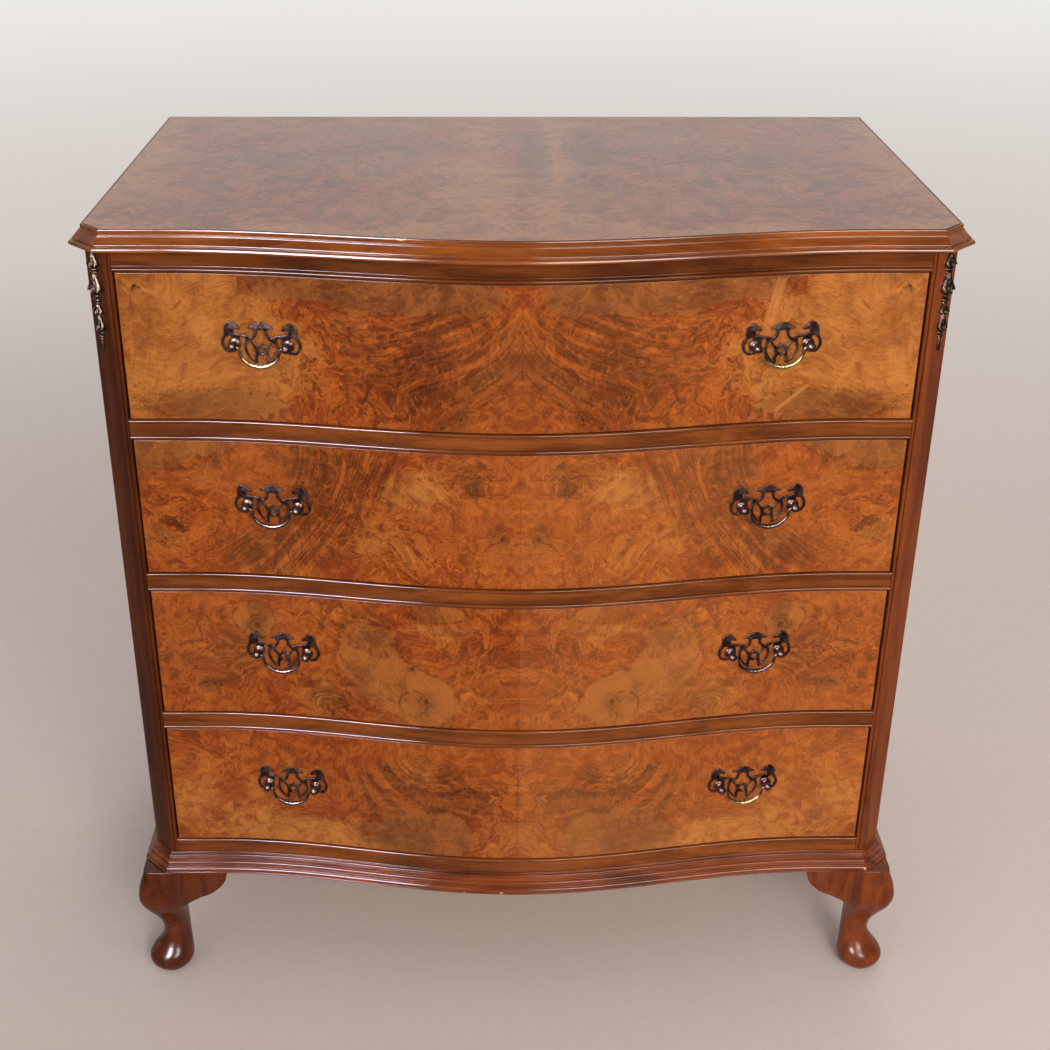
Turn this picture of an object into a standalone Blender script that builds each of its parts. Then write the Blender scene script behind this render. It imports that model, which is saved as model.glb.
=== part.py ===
"""Burr walnut serpentine chest of four drawers on short cabriole legs.

Metres, +Z up. The front of the chest faces -Y and its feet stand on z = 0.
Every object is one real piece of the chest and one closed solid.
"""

import math

import bmesh
import bpy
from mathutils import Matrix, Vector

# Case. Widths are half widths, because the chest is symmetrical about x = 0.
CASE_HALF = 0.455
CASE_DEPTH = 0.515
CANT = 0.0224
LEG_HEIGHT = 0.162
SWELL = 0.041
SWELL_IN = 0.052
SWELL_SEGMENTS = 16

# Play that keeps glued or sliding neighbours apart.
SEAT = 0.0003

# Posts, panels and boards.
POST_FACE = 0.0086
POST_BEAD = 0.0038
POST_DEPTH = 0.030
PANEL_THICK = 0.018
BACK_THICK = 0.006
BACK_INSET = 0.003
BOARD_THICK = 0.014
GUIDE_HEIGHT = 0.018

# Heights of the front, from the floor up.
BASE_HEIGHT = 0.0235
BOTTOM_RAIL = 0.0432
RAIL = 0.023
FRIEZE = 0.0236
OPENING = 0.1663
DRAWERS = 4
BEAD = 0.0040
BEAD_PROUD = 0.0022

# Top.
TOP_THICK = 0.021
TOP_BACK = 0.004
TOP_REVEAL = 0.0015
TOP_OVERHANG = 0.0150
BASE_OVERHANG = 0.0150

# Drawers.
SIDE_GAP = 0.0025
TOP_GAP = 0.0015
BOTTOM_GAP = 0.0010
FRONT_THICK = 0.020
LINING_THICK = 0.012
LINING_BELOW = 0.0163
LINING_PLAY = 0.0013
RUN_GAP = 0.0005
BACK_SPACE = 0.056
BACK_BELOW = 0.010
BOTTOM_PLY = 0.005
BOTTOM_LIFT = 0.011
GROOVE = 0.005

# Handles.
HANDLE_IN = 0.1482
HANDLE_RISE = 0.0062
BORE = 0.02857
PLATE_THICK = 0.0016
PLATE_GAP = 0.0004
AXIS_OUT = 0.0115
PIN_RADIUS = 0.0017
PIN_PLAY = 0.0006
PIN_DEEP = 0.0028
BALL_RADIUS = 0.0054
SHANK_RADIUS = 0.0027
SHANK_PLAY = 0.0006
NUT_RADIUS = 0.0062
NUT_THICK = 0.0035

# Legs. The leg's plan centre lies under the middle of the canted corner.
REAR_LEG_IN = 0.0360
KNEE_REACH = 0.0350
FOOT_REACH = 0.0330
EAR_LENGTH = 0.0798
EAR_PROUD = 0.0080
EAR_THICK = 0.020

# Corner ornaments.
DROP_BELOW = 0.005
DROP_LENGTH = 0.110
DROP_HALF = 0.0112
DROP_RELIEF = 0.0078

# The mouldings stand out from the case, so the whole chest is centred on
# the middle of its own depth.
FRONT_MOST = -(SWELL + TOP_OVERHANG)
BACK_MOST = CASE_DEPTH + TOP_BACK
FRONT_Y = -0.5 * (FRONT_MOST + BACK_MOST)

BASE_Z = LEG_HEIGHT
CASE_TOP = (BASE_Z + BOTTOM_RAIL + DRAWERS * OPENING
            + (DRAWERS - 1) * RAIL + FRIEZE)
HEIGHT = CASE_TOP + TOP_THICK
INNER_HALF = CASE_HALF - CANT - POST_FACE
SWELL_HALF = INNER_HALF - SWELL_IN
PANEL_INNER = CASE_HALF - PANEL_THICK
FRONT_HALF = INNER_HALF - SIDE_GAP
LINING_HALF = FRONT_HALF - SEAT
GUIDE_HALF = LINING_HALF + LINING_PLAY
HANDLE_X = FRONT_HALF - HANDLE_IN
SHANK_HOLE = SHANK_RADIUS + SHANK_PLAY
BACK_FACE = CASE_DEPTH - BACK_INSET - BACK_THICK
DRAWER_LENGTH = BACK_FACE - BACK_SPACE
CORNER_X = CASE_HALF - 0.5 * CANT
CORNER_Y = FRONT_Y + 0.5 * CANT


def sides():
    """The two halves of the chest, each with the sign of its x."""
    return (("left", -1), ("right", 1))


def clear_scene():
    for thing in list(bpy.data.objects):
        bpy.data.objects.remove(thing, do_unlink=True)


def material(name, colour, roughness, metallic=0.0):
    made = bpy.data.materials.new(name)
    made.use_nodes = True
    shader = made.node_tree.nodes["Principled BSDF"]
    shader.inputs["Base Color"].default_value = (*colour, 1.0)
    shader.inputs["Roughness"].default_value = roughness
    shader.inputs["Metallic"].default_value = metallic
    return made


def swell(x):
    """How far the front stands forward of the posts at this x."""
    if abs(x) >= SWELL_HALF:
        return 0.0
    return 0.5 * SWELL * (1.0 + math.cos(math.pi * x / SWELL_HALF))


KNOTS = [SWELL_HALF * (2.0 * i / SWELL_SEGMENTS - 1.0)
         for i in range(SWELL_SEGMENTS + 1)]


def front_y(x):
    """The faceted front line that every front piece shares."""
    if abs(x) >= SWELL_HALF:
        return FRONT_Y
    step = 2.0 * SWELL_HALF / SWELL_SEGMENTS
    i = min(int((x + SWELL_HALF) / step), SWELL_SEGMENTS - 1)
    t = (x - KNOTS[i]) / step
    return FRONT_Y - (1.0 - t) * swell(KNOTS[i]) - t * swell(KNOTS[i + 1])


def stations(half):
    return [-half] + KNOTS + [half]


def finish(obj, smooth):
    """Turn the faces outward and check that the solid is closed."""
    work = bmesh.new()
    work.from_mesh(obj.data)
    bmesh.ops.recalc_face_normals(work, faces=work.faces)
    if work.calc_volume(signed=True) < 0.0:
        bmesh.ops.reverse_faces(work, faces=work.faces)
    loose = [edge for edge in work.edges if len(edge.link_faces) != 2]
    if loose:
        raise ValueError("open edges in " + obj.name)
    for face in work.faces:
        face.smooth = smooth
    work.to_mesh(obj.data)
    work.free()
    return obj


def solid(name, points, faces, mat, smooth=False):
    mesh = bpy.data.meshes.new(name)
    mesh.from_pydata([tuple(p) for p in points], [], faces)
    mesh.materials.append(mat)
    obj = bpy.data.objects.new(name, mesh)
    bpy.context.scene.collection.objects.link(obj)
    return finish(obj, smooth)


def loft(name, rings, mat, smooth=False):
    """Skin a row of closed rings and cap both ends."""
    count = len(rings[0])
    points = [p for ring in rings for p in ring]
    faces = []
    for r in range(len(rings) - 1):
        a = r * count
        b = a + count
        for i in range(count):
            j = (i + 1) % count
            faces.append((a + i, a + j, b + j, b + i))
    faces.append(tuple(range(count)))
    last = (len(rings) - 1) * count
    faces.append(tuple(range(last + count - 1, last - 1, -1)))
    return solid(name, points, faces, mat, smooth)


def box(name, x0, x1, y0, y1, z0, z1, mat):
    ring = [(x0, y0), (x1, y0), (x1, y1), (x0, y1)]
    rings = [[(x, y, z) for x, y in ring] for z in (z0, z1)]
    return loft(name, rings, mat)


def prism_up(name, outline, z0, z1, mat):
    rings = [[(x, y, z) for x, y in outline] for z in (z0, z1)]
    return loft(name, rings, mat)


def prism_back(name, outline, y0, y1, mat):
    """Extrude an (x, z) outline along y."""
    rings = [[(x, y, z) for x, z in outline] for y in (y0, y1)]
    return loft(name, rings, mat)


def boolean(obj, other, how):
    """Apply an exact boolean and drop the other object."""
    change = obj.modifiers.new(how, "BOOLEAN")
    change.operation = how
    change.solver = "EXACT"
    change.object = other
    graph = bpy.context.evaluated_depsgraph_get()
    mesh = bpy.data.meshes.new_from_object(obj.evaluated_get(graph))
    obj.modifiers.clear()
    obj.data = mesh
    bpy.data.objects.remove(other, do_unlink=True)
    return obj


def outline_path(offset):
    """The case's plan line from the left back corner round to the right,
    moved outward by offset with mitred corners."""
    left = [(-CASE_HALF, FRONT_Y + CASE_DEPTH),
            (-CASE_HALF, FRONT_Y + CANT),
            (-(CASE_HALF - CANT), FRONT_Y)]
    middle = [(x, front_y(x)) for x in KNOTS]
    line = left + middle + [(-x, y) for x, y in reversed(left)]
    normals = []
    for (x0, y0), (x1, y1) in zip(line, line[1:]):
        run = Vector((x1 - x0, y1 - y0)).normalized()
        normals.append(Vector((run.y, -run.x)))
    moved = []
    for i, (x, y) in enumerate(line):
        before = normals[max(i - 1, 0)]
        after = normals[min(i, len(normals) - 1)]
        push = (before + after) / (1.0 + before.dot(after))
        moved.append((x + push.x * offset, y + push.y * offset))
    return moved


def path_sweep(name, profile, back, mat):
    """Carry an (out, z) profile round the front and both sides."""
    lines = {out: outline_path(out) for out, z in profile}
    rings = []
    for i in range(len(lines[profile[0][0]])):
        ring = []
        for out, z in profile:
            x, y = lines[out][i]
            if i in (0, len(lines[out]) - 1):
                y = FRONT_Y + back
            ring.append((x, y, z))
        rings.append(ring)
    return loft(name, rings, mat)


def rail(name, z0, z1, half, depth, beads, mat):
    """A cross rail with a straight back, a serpentine face and beads on
    the edges that look into a drawer opening."""
    face = []
    if "low" in beads:
        face += bead_points(z0, 1.0)
    else:
        face += [(0.0, z0)]
    if "high" in beads:
        face += list(reversed(bead_points(z1, -1.0)))
    else:
        face += [(0.0, z1)]
    rings = []
    for x in stations(half):
        y = front_y(x)
        ring = [(x, y - out, z) for out, z in face]
        ring += [(x, FRONT_Y + depth, z1), (x, FRONT_Y + depth, z0)]
        rings.append(ring)
    return loft(name, rings, mat)


def bead_points(edge, way):
    """Half-round bead of a rail, from its drawer edge towards the flat."""
    return [(0.0, edge),
            (0.7 * BEAD_PROUD, edge + way * 0.12 * BEAD),
            (BEAD_PROUD, edge + way * 0.50 * BEAD),
            (0.7 * BEAD_PROUD, edge + way * 0.88 * BEAD),
            (0.0, edge + way * BEAD)]


def opening_floor(number):
    """Floor height of a drawer's opening; drawer 1 is the top one."""
    return BASE_Z + BOTTOM_RAIL + (DRAWERS - number) * (OPENING + RAIL)


def build_case(mats):
    wood = mats["solid_walnut"]
    for side, s in sides():
        inner = INNER_HALF
        outline = [(s * inner, FRONT_Y + POST_DEPTH),
                   (s * inner, FRONT_Y + 0.0009),
                   (s * (inner + 0.0009), FRONT_Y),
                   (s * (inner + POST_BEAD - 0.0008), FRONT_Y),
                   (s * (inner + POST_BEAD), FRONT_Y + 0.0010),
                   (s * (inner + POST_BEAD + 0.0008), FRONT_Y),
                   (s * (CASE_HALF - CANT), FRONT_Y),
                   (s * CASE_HALF, FRONT_Y + CANT),
                   (s * CASE_HALF, FRONT_Y + POST_DEPTH)]
        prism_up("corner_post_" + side, outline, BASE_Z, CASE_TOP, wood)
        x0, x1 = sorted((s * PANEL_INNER, s * CASE_HALF))
        box("side_panel_" + side, x0, x1,
            FRONT_Y + POST_DEPTH + SEAT, FRONT_Y + CASE_DEPTH,
            BASE_Z, CASE_TOP, mats["veneer"])
    box("back_panel", -PANEL_INNER + SEAT, PANEL_INNER - SEAT,
        FRONT_Y + BACK_FACE, FRONT_Y + BACK_FACE + BACK_THICK,
        BASE_Z, CASE_TOP, mats["ply"])

    half = INNER_HALF - SEAT
    rail("bottom_rail", BASE_Z, opening_floor(DRAWERS), half, POST_DEPTH,
         ("high",), wood)
    rail("frieze_rail", opening_floor(1) + OPENING, CASE_TOP, half, POST_DEPTH,
         ("low",), wood)
    for number in range(1, DRAWERS):
        floor = opening_floor(number)
        rail("drawer_rail_%d" % number, floor - RAIL, floor, half, POST_DEPTH,
             ("low", "high"), wood)
    for number in range(1, DRAWERS + 1):
        name = "dust_board_%d" % number
        if number == DRAWERS:
            name = "bottom_board"
        runner_board(name, opening_floor(number), mats["ply"])


def runner_board(name, top, mat):
    """Board that carries one drawer, with a guide strip at each end."""
    wall = PANEL_INNER - SEAT
    outline = [(-wall, top - BOARD_THICK), (wall, top - BOARD_THICK),
               (wall, top + GUIDE_HEIGHT), (GUIDE_HALF, top + GUIDE_HEIGHT),
               (GUIDE_HALF, top), (-GUIDE_HALF, top),
               (-GUIDE_HALF, top + GUIDE_HEIGHT), (-wall, top + GUIDE_HEIGHT)]
    prism_back(name, outline, FRONT_Y + POST_DEPTH + SEAT,
               FRONT_Y + BACK_FACE - SEAT, mat)


# Face of the top moulding: share of its overhang, share of its height.
TOP_FACE = [(0.03, 0.00), (0.10, 0.06), (0.10, 0.21), (0.20, 0.25),
            (0.48, 0.38), (0.69, 0.56), (0.77, 0.72), (0.92, 0.77),
            (1.00, 0.87), (0.93, 0.96), (0.83, 1.00)]


def build_top(mats):
    line = outline_path(-TOP_REVEAL)
    back = FRONT_Y + CASE_DEPTH + TOP_BACK
    outline = list(line)
    outline[0] = (line[0][0], back)
    outline[-1] = (line[-1][0], back)
    prism_up("top_panel", outline, CASE_TOP + SEAT, HEIGHT, mats["veneer"])
    panel_edge = -TOP_REVEAL + SEAT
    tall = TOP_THICK - SEAT
    profile = [(panel_edge, HEIGHT), (panel_edge, HEIGHT - tall)]
    face = [(share * TOP_OVERHANG, HEIGHT - down * tall)
            for share, down in TOP_FACE]
    path_sweep("top_moulding", profile[:1] + face + profile[1:],
               CASE_DEPTH + TOP_BACK, mats["solid_walnut"])


# Face of the base moulding: share of its overhang, share of its height.
BASE_FACE = [(0.93, 0.00), (1.00, 0.06), (0.96, 0.14), (0.84, 0.18),
             (0.69, 0.38), (0.57, 0.46), (0.49, 0.51), (0.46, 0.68),
             (0.34, 0.78), (0.20, 0.82), (0.17, 0.91), (0.09, 1.00)]


def build_base(mats):
    face = [(share * BASE_OVERHANG, BASE_Z + up * BASE_HEIGHT)
            for share, up in BASE_FACE]
    profile = [(SEAT, BASE_Z)] + face + [(SEAT, BASE_Z + BASE_HEIGHT)]
    path_sweep("base_moulding", profile, CASE_DEPTH, mats["solid_walnut"])


# Leg sections: share of the height, reach outward from the corner centre
# as a share of the foot's or the knee's, reach inward, and squareness of
# the section, where 2 is round.
FOOT_SECTIONS = [
    (0.000, 0.73, 0.0145, 2.0), (0.037, 0.90, 0.0205, 2.0),
    (0.093, 1.00, 0.0237, 2.0), (0.154, 0.88, 0.0232, 2.0),
    (0.210, 0.64, 0.0222, 2.0), (0.272, 0.455, 0.0212, 2.1),
    (0.346, 0.39, 0.0208, 2.2)]
KNEE_SECTIONS = [
    (0.444, 0.42, 0.0208, 2.5), (0.531, 0.59, 0.0212, 2.8),
    (0.599, 0.78, 0.0218, 3.2), (0.667, 0.95, 0.0220, 3.4),
    (0.747, 1.00, 0.0220, 3.6), (0.852, 0.93, 0.0220, 4.0),
    (0.926, 0.81, 0.0220, 4.5), (1.000, 0.73, 0.0220, 5.0)]
LEG_RING = 16

# Knee bracket: share of its length from the corner centre, and share of
# the leg's height.
EAR_LINE = [(0.000, 0.531), (0.226, 0.568), (0.327, 0.602),
            (0.549, 0.645), (0.744, 0.703), (0.917, 0.812),
            (0.975, 0.901), (1.000, 0.998)]


def leg_ring(z, reach, inner, power, sx, sy, cx, cy):
    radius = 0.5 * (reach + inner)
    shift = 0.5 * (reach - inner)
    ring = []
    for i in range(LEG_RING):
        a = 2.0 * math.pi * i / LEG_RING
        c = math.cos(a)
        s = math.sin(a)
        grow = (abs(c) ** power + abs(s) ** power) ** (-1.0 / power)
        ring.append((cx + sx * (shift + radius * grow * c),
                     cy + sy * (shift + radius * grow * s), z))
    return ring


def build_leg(name, sx, sy, cx, cy, mat):
    """Cabriole leg with its two knee brackets glued on."""
    tall = LEG_HEIGHT - SEAT
    rings = [leg_ring(share * tall, FOOT_REACH * out, inner, power, sx, sy, cx, cy)
             for share, out, inner, power in FOOT_SECTIONS]
    rings += [leg_ring(share * tall, KNEE_REACH * out, inner, power, sx, sy, cx, cy)
              for share, out, inner, power in KNEE_SECTIONS]
    leg = loft(name, rings, mat, True)
    face = 0.5 * CANT + EAR_PROUD
    line = [(share * EAR_LENGTH, up * tall) for share, up in EAR_LINE]
    line.append((0.0, line[-1][1]))
    for along_x in (True, False):
        rings = []
        for reach in (face, face - EAR_THICK):
            ring = []
            for run, z in line:
                if along_x:
                    ring.append((cx - sx * run, cy + sy * reach, z))
                else:
                    ring.append((cx + sx * (reach - 0.0004), cy - sy * run, z))
            rings.append(ring)
        ear = loft("ear", rings, mat)
        boolean(leg, ear, "UNION")
    return finish(leg, True)


def build_legs(mats):
    rear = FRONT_Y + CASE_DEPTH - REAR_LEG_IN
    for side, s in sides():
        build_leg("front_leg_" + side, s, -1.0, s * CORNER_X, CORNER_Y,
                  mats["solid_walnut"])
        build_leg("rear_leg_" + side, s, 1.0, s * CORNER_X, rear,
                  mats["solid_walnut"])


# Corner drop: share of its length from the top, of its half width and of
# its relief.
DROP_SECTIONS = [
    (0.000, 0.54, 0.38), (0.040, 0.80, 0.64), (0.115, 0.88, 0.80),
    (0.150, 0.45, 0.46), (0.185, 0.55, 0.59), (0.215, 0.39, 0.46),
    (0.260, 0.70, 0.82), (0.350, 1.00, 1.00), (0.400, 0.80, 0.64),
    (0.430, 0.43, 0.51), (0.470, 0.54, 0.64), (0.500, 0.38, 0.46),
    (0.545, 0.73, 0.80), (0.600, 0.62, 0.56), (0.640, 0.32, 0.38),
    (0.690, 0.55, 0.67), (0.770, 0.71, 0.72), (0.805, 0.39, 0.41),
    (0.840, 0.36, 0.46), (0.880, 0.21, 0.31), (1.000, 0.14, 0.18)]


def build_drops(mats):
    """Cast floral drops, one on each canted corner."""
    arc = [math.pi * i / 6.0 for i in range(7)]
    for side, s in sides():
        out = Vector((s, -1.0, 0.0)).normalized()
        across = Vector((-s, -1.0, 0.0)).normalized()
        base = Vector((s * CORNER_X, CORNER_Y, 0.0)) + out * SEAT
        rings = []
        for share, wide, deep in DROP_SECTIONS:
            half = wide * DROP_HALF
            relief = deep * DROP_RELIEF
            z = CASE_TOP - DROP_BELOW - share * DROP_LENGTH
            ring = []
            for a in arc:
                p = base + across * (half * math.cos(a)) + out * (relief * math.sin(a))
                ring.append((p.x, p.y, z))
            rings.append(ring)
        loft("corner_drop_" + side, rings, mats["brass"], True)


def build_drawer(number, mats):
    floor = opening_floor(number)
    low = floor + BOTTOM_GAP
    high = floor + OPENING - TOP_GAP
    run = floor + RUN_GAP
    groove0 = run + BOTTOM_LIFT - SEAT
    groove1 = groove0 + BOTTOM_PLY + 2.0 * SEAT
    name = "drawer_%d_" % number

    rings = []
    for x in stations(FRONT_HALF):
        y = front_y(x)
        back = y + FRONT_THICK
        rings.append([(x, y + 0.0006, low), (x, y, low + 0.0006),
                      (x, y, high - 0.0006), (x, y + 0.0006, high),
                      (x, back, high), (x, back, groove1),
                      (x, back - GROOVE, groove1), (x, back - GROOVE, groove0),
                      (x, back, groove0), (x, back, low)])
    front = loft(name + "front", rings, mats["veneer"])
    for side, s in sides():
        frame = handle_frame(number, s)
        for bore in (-BORE, BORE):
            drill = cylinder("drill", SHANK_HOLE, -2.0 * FRONT_THICK, 0.010, 8, mats["brass"])
            place(drill, frame @ Matrix.Translation((bore, 0.0, 0.0)))
            boolean(front, drill, "DIFFERENCE")
    finish(front, False)

    start = FRONT_Y + FRONT_THICK + SEAT
    end = FRONT_Y + DRAWER_LENGTH
    top = high - LINING_BELOW
    for side, s in sides():
        outer = s * LINING_HALF
        inner = s * (LINING_HALF - LINING_THICK)
        cut = s * (LINING_HALF - LINING_THICK + GROOVE)
        outline = [(outer, run), (outer, top), (inner, top), (inner, groove1),
                   (cut, groove1), (cut, groove0), (inner, groove0), (inner, run)]
        prism_back(name + "side_" + side, outline, start, end, mats["lining"])
    wall = LINING_HALF - LINING_THICK
    box(name + "back", -wall + SEAT, wall - SEAT, end - LINING_THICK, end,
        groove1, top - BACK_BELOW, mats["lining"])
    reach = wall + GROOVE - SEAT
    line = [(x, front_y(x) + FRONT_THICK - GROOVE + SEAT) for x in KNOTS]
    line = [(-wall, line[0][1])] + line + [(wall, line[-1][1])]
    inset = wall - SEAT
    line = [(min(max(x, -inset), inset), y) for x, y in line]
    line = [(-reach, start + SEAT), (-inset, start + SEAT)] + line
    line += [(inset, start + SEAT), (reach, start + SEAT)]
    line += [(reach, end), (-reach, end)]
    prism_up(name + "bottom", tidy_line(line), groove0 + SEAT,
             groove1 - SEAT, mats["ply"])


def tidy_line(line):
    """Drop points that repeat their neighbour."""
    kept = []
    for p in line:
        if not kept or math.dist(p, kept[-1]) > 1e-5:
            kept.append(p)
    return kept


# Half outline of the pierced back plate, clockwise from the top of the
# crest. Drawn in millimetres from the middle of the line of the posts, for
# posts DRAWN_BORE from the middle.
DRAWN_BORE = 28.57
PLATE_EDGE = [
    (0.0, 25.2), (5.5, 23.2), (12.9, 18.6), (9.2, 17.4), (6.9, 14.0),
    (8.2, 8.2), (10.6, 6.8), (18.0, 10.2), (25.5, 12.4), (28.6, 12.0),
    (29.4, 15.0), (26.4, 17.2), (23.6, 15.2), (23.2, 18.6), (28.6, 22.6),
    (32.2, 24.4), (37.6, 20.6), (38.4, 14.0), (37.2, 10.8), (40.5, 2.6),
    (38.6, -5.2), (34.0, -8.8), (27.0, -8.8), (23.0, -5.2), (22.7, 7.4),
    (15.4, 6.8), (16.9, -3.0), (15.6, -10.8), (8.6, -19.2), (4.6, -20.6),
    (3.0, -19.2), (3.4, -14.0), (0.0, -11.0)]
PLATE_LOOP = [(30.8, 7.8), (35.0, 7.2), (37.4, 2.0), (36.0, -4.0), (31.4, -4.8)]
PLATE_LOBE = [(9.9, 2.8), (13.4, -0.4), (14.2, -6.0), (11.0, -14.0),
              (7.6, -16.6), (6.2, -8.6), (7.0, -3.0)]
PLATE_VASE = [(3.6, 15.4), (3.4, 11.0), (8.2, 4.4), (4.4, -2.2), (0.0, 0.6)]
PLATE_RING = 2.7


def mirror_closed(half):
    left = [(-u, v) for u, v in reversed(half) if u > 1e-6]
    return half + left


def fill(edge, holes):
    """Triangles of a flat outline with holes."""
    loops = [edge] + holes
    work = bmesh.new()
    lines = []
    for loop in loops:
        row = [work.verts.new((u, v, 0.0)) for u, v in loop]
        for i, vert in enumerate(row):
            lines.append(work.edges.new((vert, row[(i + 1) % len(row)])))
    bmesh.ops.triangle_fill(work, use_beauty=True, edges=lines, normal=(0, 0, 1))
    work.verts.index_update()
    points = [tuple(v.co) for v in work.verts]
    faces = [tuple(v.index for v in f.verts) for f in work.faces]
    work.free()
    return points, faces, loops


def plate_solid(mat):
    ring = [(PLATE_RING * math.cos(math.pi * i / 4.0),
             -6.0 + PLATE_RING * math.sin(math.pi * i / 4.0)) for i in range(8)]
    holes = [PLATE_LOOP, [(-u, v) for u, v in PLATE_LOOP],
             PLATE_LOBE, [(-u, v) for u, v in PLATE_LOBE],
             mirror_closed(PLATE_VASE), ring]
    points, faces, loops = fill(mirror_closed(PLATE_EDGE), holes)
    count = len(points)
    scale = BORE / DRAWN_BORE
    low = [(scale * u, scale * v, PLATE_GAP) for u, v, w in points]
    high = [(scale * u, scale * v, PLATE_GAP + PLATE_THICK) for u, v, w in points]
    skin = [tuple(reversed(f)) for f in faces]
    skin += [tuple(i + count for i in f) for f in faces]
    start = 0
    for loop in loops:
        for i in range(len(loop)):
            a = start + i
            b = start + (i + 1) % len(loop)
            skin.append((a, b, b + count, a + count))
        start += len(loop)
    return solid("plate", low + high, skin, mat)


def lathe(name, profile, count, mat):
    """Turn a (radius, w) profile about the w axis."""
    rings = []
    for radius, w in profile:
        rings.append([(radius * math.cos(2.0 * math.pi * i / count),
                       radius * math.sin(2.0 * math.pi * i / count), w)
                      for i in range(count)])
    return loft(name, rings, mat, True)


def cylinder(name, radius, w0, w1, count, mat):
    return lathe(name, [(radius, w0), (radius, w1)], count, mat)


def place(obj, matrix):
    obj.data.transform(matrix)
    obj.data.update()


def handle_frame(number, s):
    """Handle axes: u along the front, v up, w out of the front."""
    x = s * HANDLE_X
    slope = (swell(x + 1e-4) - swell(x - 1e-4)) / 2e-4
    along = Vector((1.0, -slope, 0.0)).normalized()
    up = Vector((0.0, 0.0, 1.0))
    out = along.cross(up)
    low = opening_floor(number) + BOTTOM_GAP
    high = opening_floor(number) + OPENING - TOP_GAP
    z = 0.5 * (low + high) + HANDLE_RISE
    frame = Matrix((along, up, out)).transposed().to_4x4()
    frame.translation = Vector((x, front_y(x), z))
    return frame


def surface_out(frame, u):
    """How far out of the handle's flat plane the drawer front lies at u."""
    origin = frame.translation
    along = frame.col[0].to_3d()
    out = frame.col[2].to_3d()
    x = origin.x + u * along.x
    y = origin.y + u * along.y
    for _ in range(3):
        gap = (front_y(x) - y) / out.y
        x = origin.x + u * along.x + gap * out.x
        y = origin.y + u * along.y
    return (front_y(x) - y) / out.y


def build_plate_pattern(mats):
    """Back plate with both posts, shanks and nuts, in handle axes."""
    plate = plate_solid(mats["brass"])
    nut = -(FRONT_THICK + 0.0006)
    face = PLATE_GAP + PLATE_THICK
    turned = [(NUT_RADIUS, nut - NUT_THICK), (NUT_RADIUS, nut - 0.0004),
              (SHANK_RADIUS, nut), (SHANK_RADIUS, PLATE_GAP + 0.0004),
              (0.0056, PLATE_GAP + 0.0006), (0.0052, face + 0.0012),
              (0.0030, face + 0.0032), (0.68 * BALL_RADIUS, AXIS_OUT - 0.0042),
              (BALL_RADIUS, AXIS_OUT - 0.0016), (BALL_RADIUS, AXIS_OUT + 0.0016),
              (0.50 * BALL_RADIUS, AXIS_OUT + 0.0048)]
    for s in (-1.0, 1.0):
        post = lathe("post", turned, 8, mats["brass"])
        place(post, Matrix.Translation((s * BORE, 0.0, 0.0)))
        boolean(plate, post, "UNION")
        drill = cylinder("drill", PIN_RADIUS + PIN_PLAY, -PIN_DEEP, 0.010, 8,
                         mats["brass"])
        turn = Matrix.Rotation(math.radians(-90.0 * s), 4, "Y")
        place(drill, Matrix.Translation((s * BORE, 0.0, AXIS_OUT)) @ turn)
        boolean(plate, drill, "DIFFERENCE")
    return finish(plate, False)


# Half of the bail's centre line, in the same millimetres as the plate, with
# its thickness as a share of the pin's.
BAIL_LINE = [(23.4, 0.0, 1.00), (21.4, -1.6, 1.00), (21.0, -6.0, 0.90),
             (19.2, -11.2, 0.95), (15.4, -15.8, 1.10), (9.6, -19.0, 1.30),
             (3.6, -20.6, 1.55)]


def build_bail_pattern(mats):
    scale = BORE / DRAWN_BORE
    line = [(BORE - SEAT, 0.0, PIN_RADIUS)]
    line += [(scale * u, scale * v, share * PIN_RADIUS) for u, v, share in BAIL_LINE]
    line += [(-u, v, r) for u, v, r in reversed(line)]
    rings = []
    for i, (u, v, r) in enumerate(line):
        before = line[max(i - 1, 0)]
        after = line[min(i + 1, len(line) - 1)]
        run = Vector((after[0] - before[0], after[1] - before[1]))
        run.normalize()
        side = Vector((-run.y, run.x))
        ring = []
        for k in range(6):
            a = 2.0 * math.pi * (k + 0.5) / 6.0
            ring.append((u + side.x * r * math.cos(a),
                         v + side.y * r * math.cos(a),
                         r * math.sin(a)))
        rings.append(ring)
    return loft("bail", rings, mats["brass"], True)


def build_handles(mats):
    plate = build_plate_pattern(mats)
    bail = build_bail_pattern(mats)
    for number in range(1, DRAWERS + 1):
        for side, s in sides():
            frame = handle_frame(number, s)
            name = "%d_%s" % (number, side)
            copy = plate.data.copy()
            for vert in copy.vertices:
                vert.co.z += surface_out(frame, vert.co.x)
            copy.transform(frame)
            obj = bpy.data.objects.new("handle_plate_" + name, copy)
            bpy.context.scene.collection.objects.link(obj)
            finish(obj, False)
            sag = 0.5 * (surface_out(frame, BORE) + surface_out(frame, -BORE))
            copy = bail.data.copy()
            axis = frame @ Matrix.Translation((0.0, 0.0, AXIS_OUT + sag))
            obj = bpy.data.objects.new("handle_bail_" + name, copy)
            obj.matrix_world = axis
            bpy.context.scene.collection.objects.link(obj)
    for thing in (plate, bail):
        bpy.data.objects.remove(thing, do_unlink=True)


def hang_on_slides():
    """Parent each drawer's pieces to an empty on its line of travel."""
    for number in range(1, DRAWERS + 1):
        slide = bpy.data.objects.new("slide_%d" % number, None)
        slide.location = (0.0, FRONT_Y, opening_floor(number))
        bpy.context.scene.collection.objects.link(slide)
        bpy.context.view_layer.update()
        mine = ("drawer_%d_" % number, "handle_plate_%d_" % number,
                "handle_bail_%d_" % number)
        for obj in bpy.context.scene.objects:
            if obj.name.startswith(mine):
                obj.parent = slide
                obj.matrix_parent_inverse = slide.matrix_world.inverted()


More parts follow.
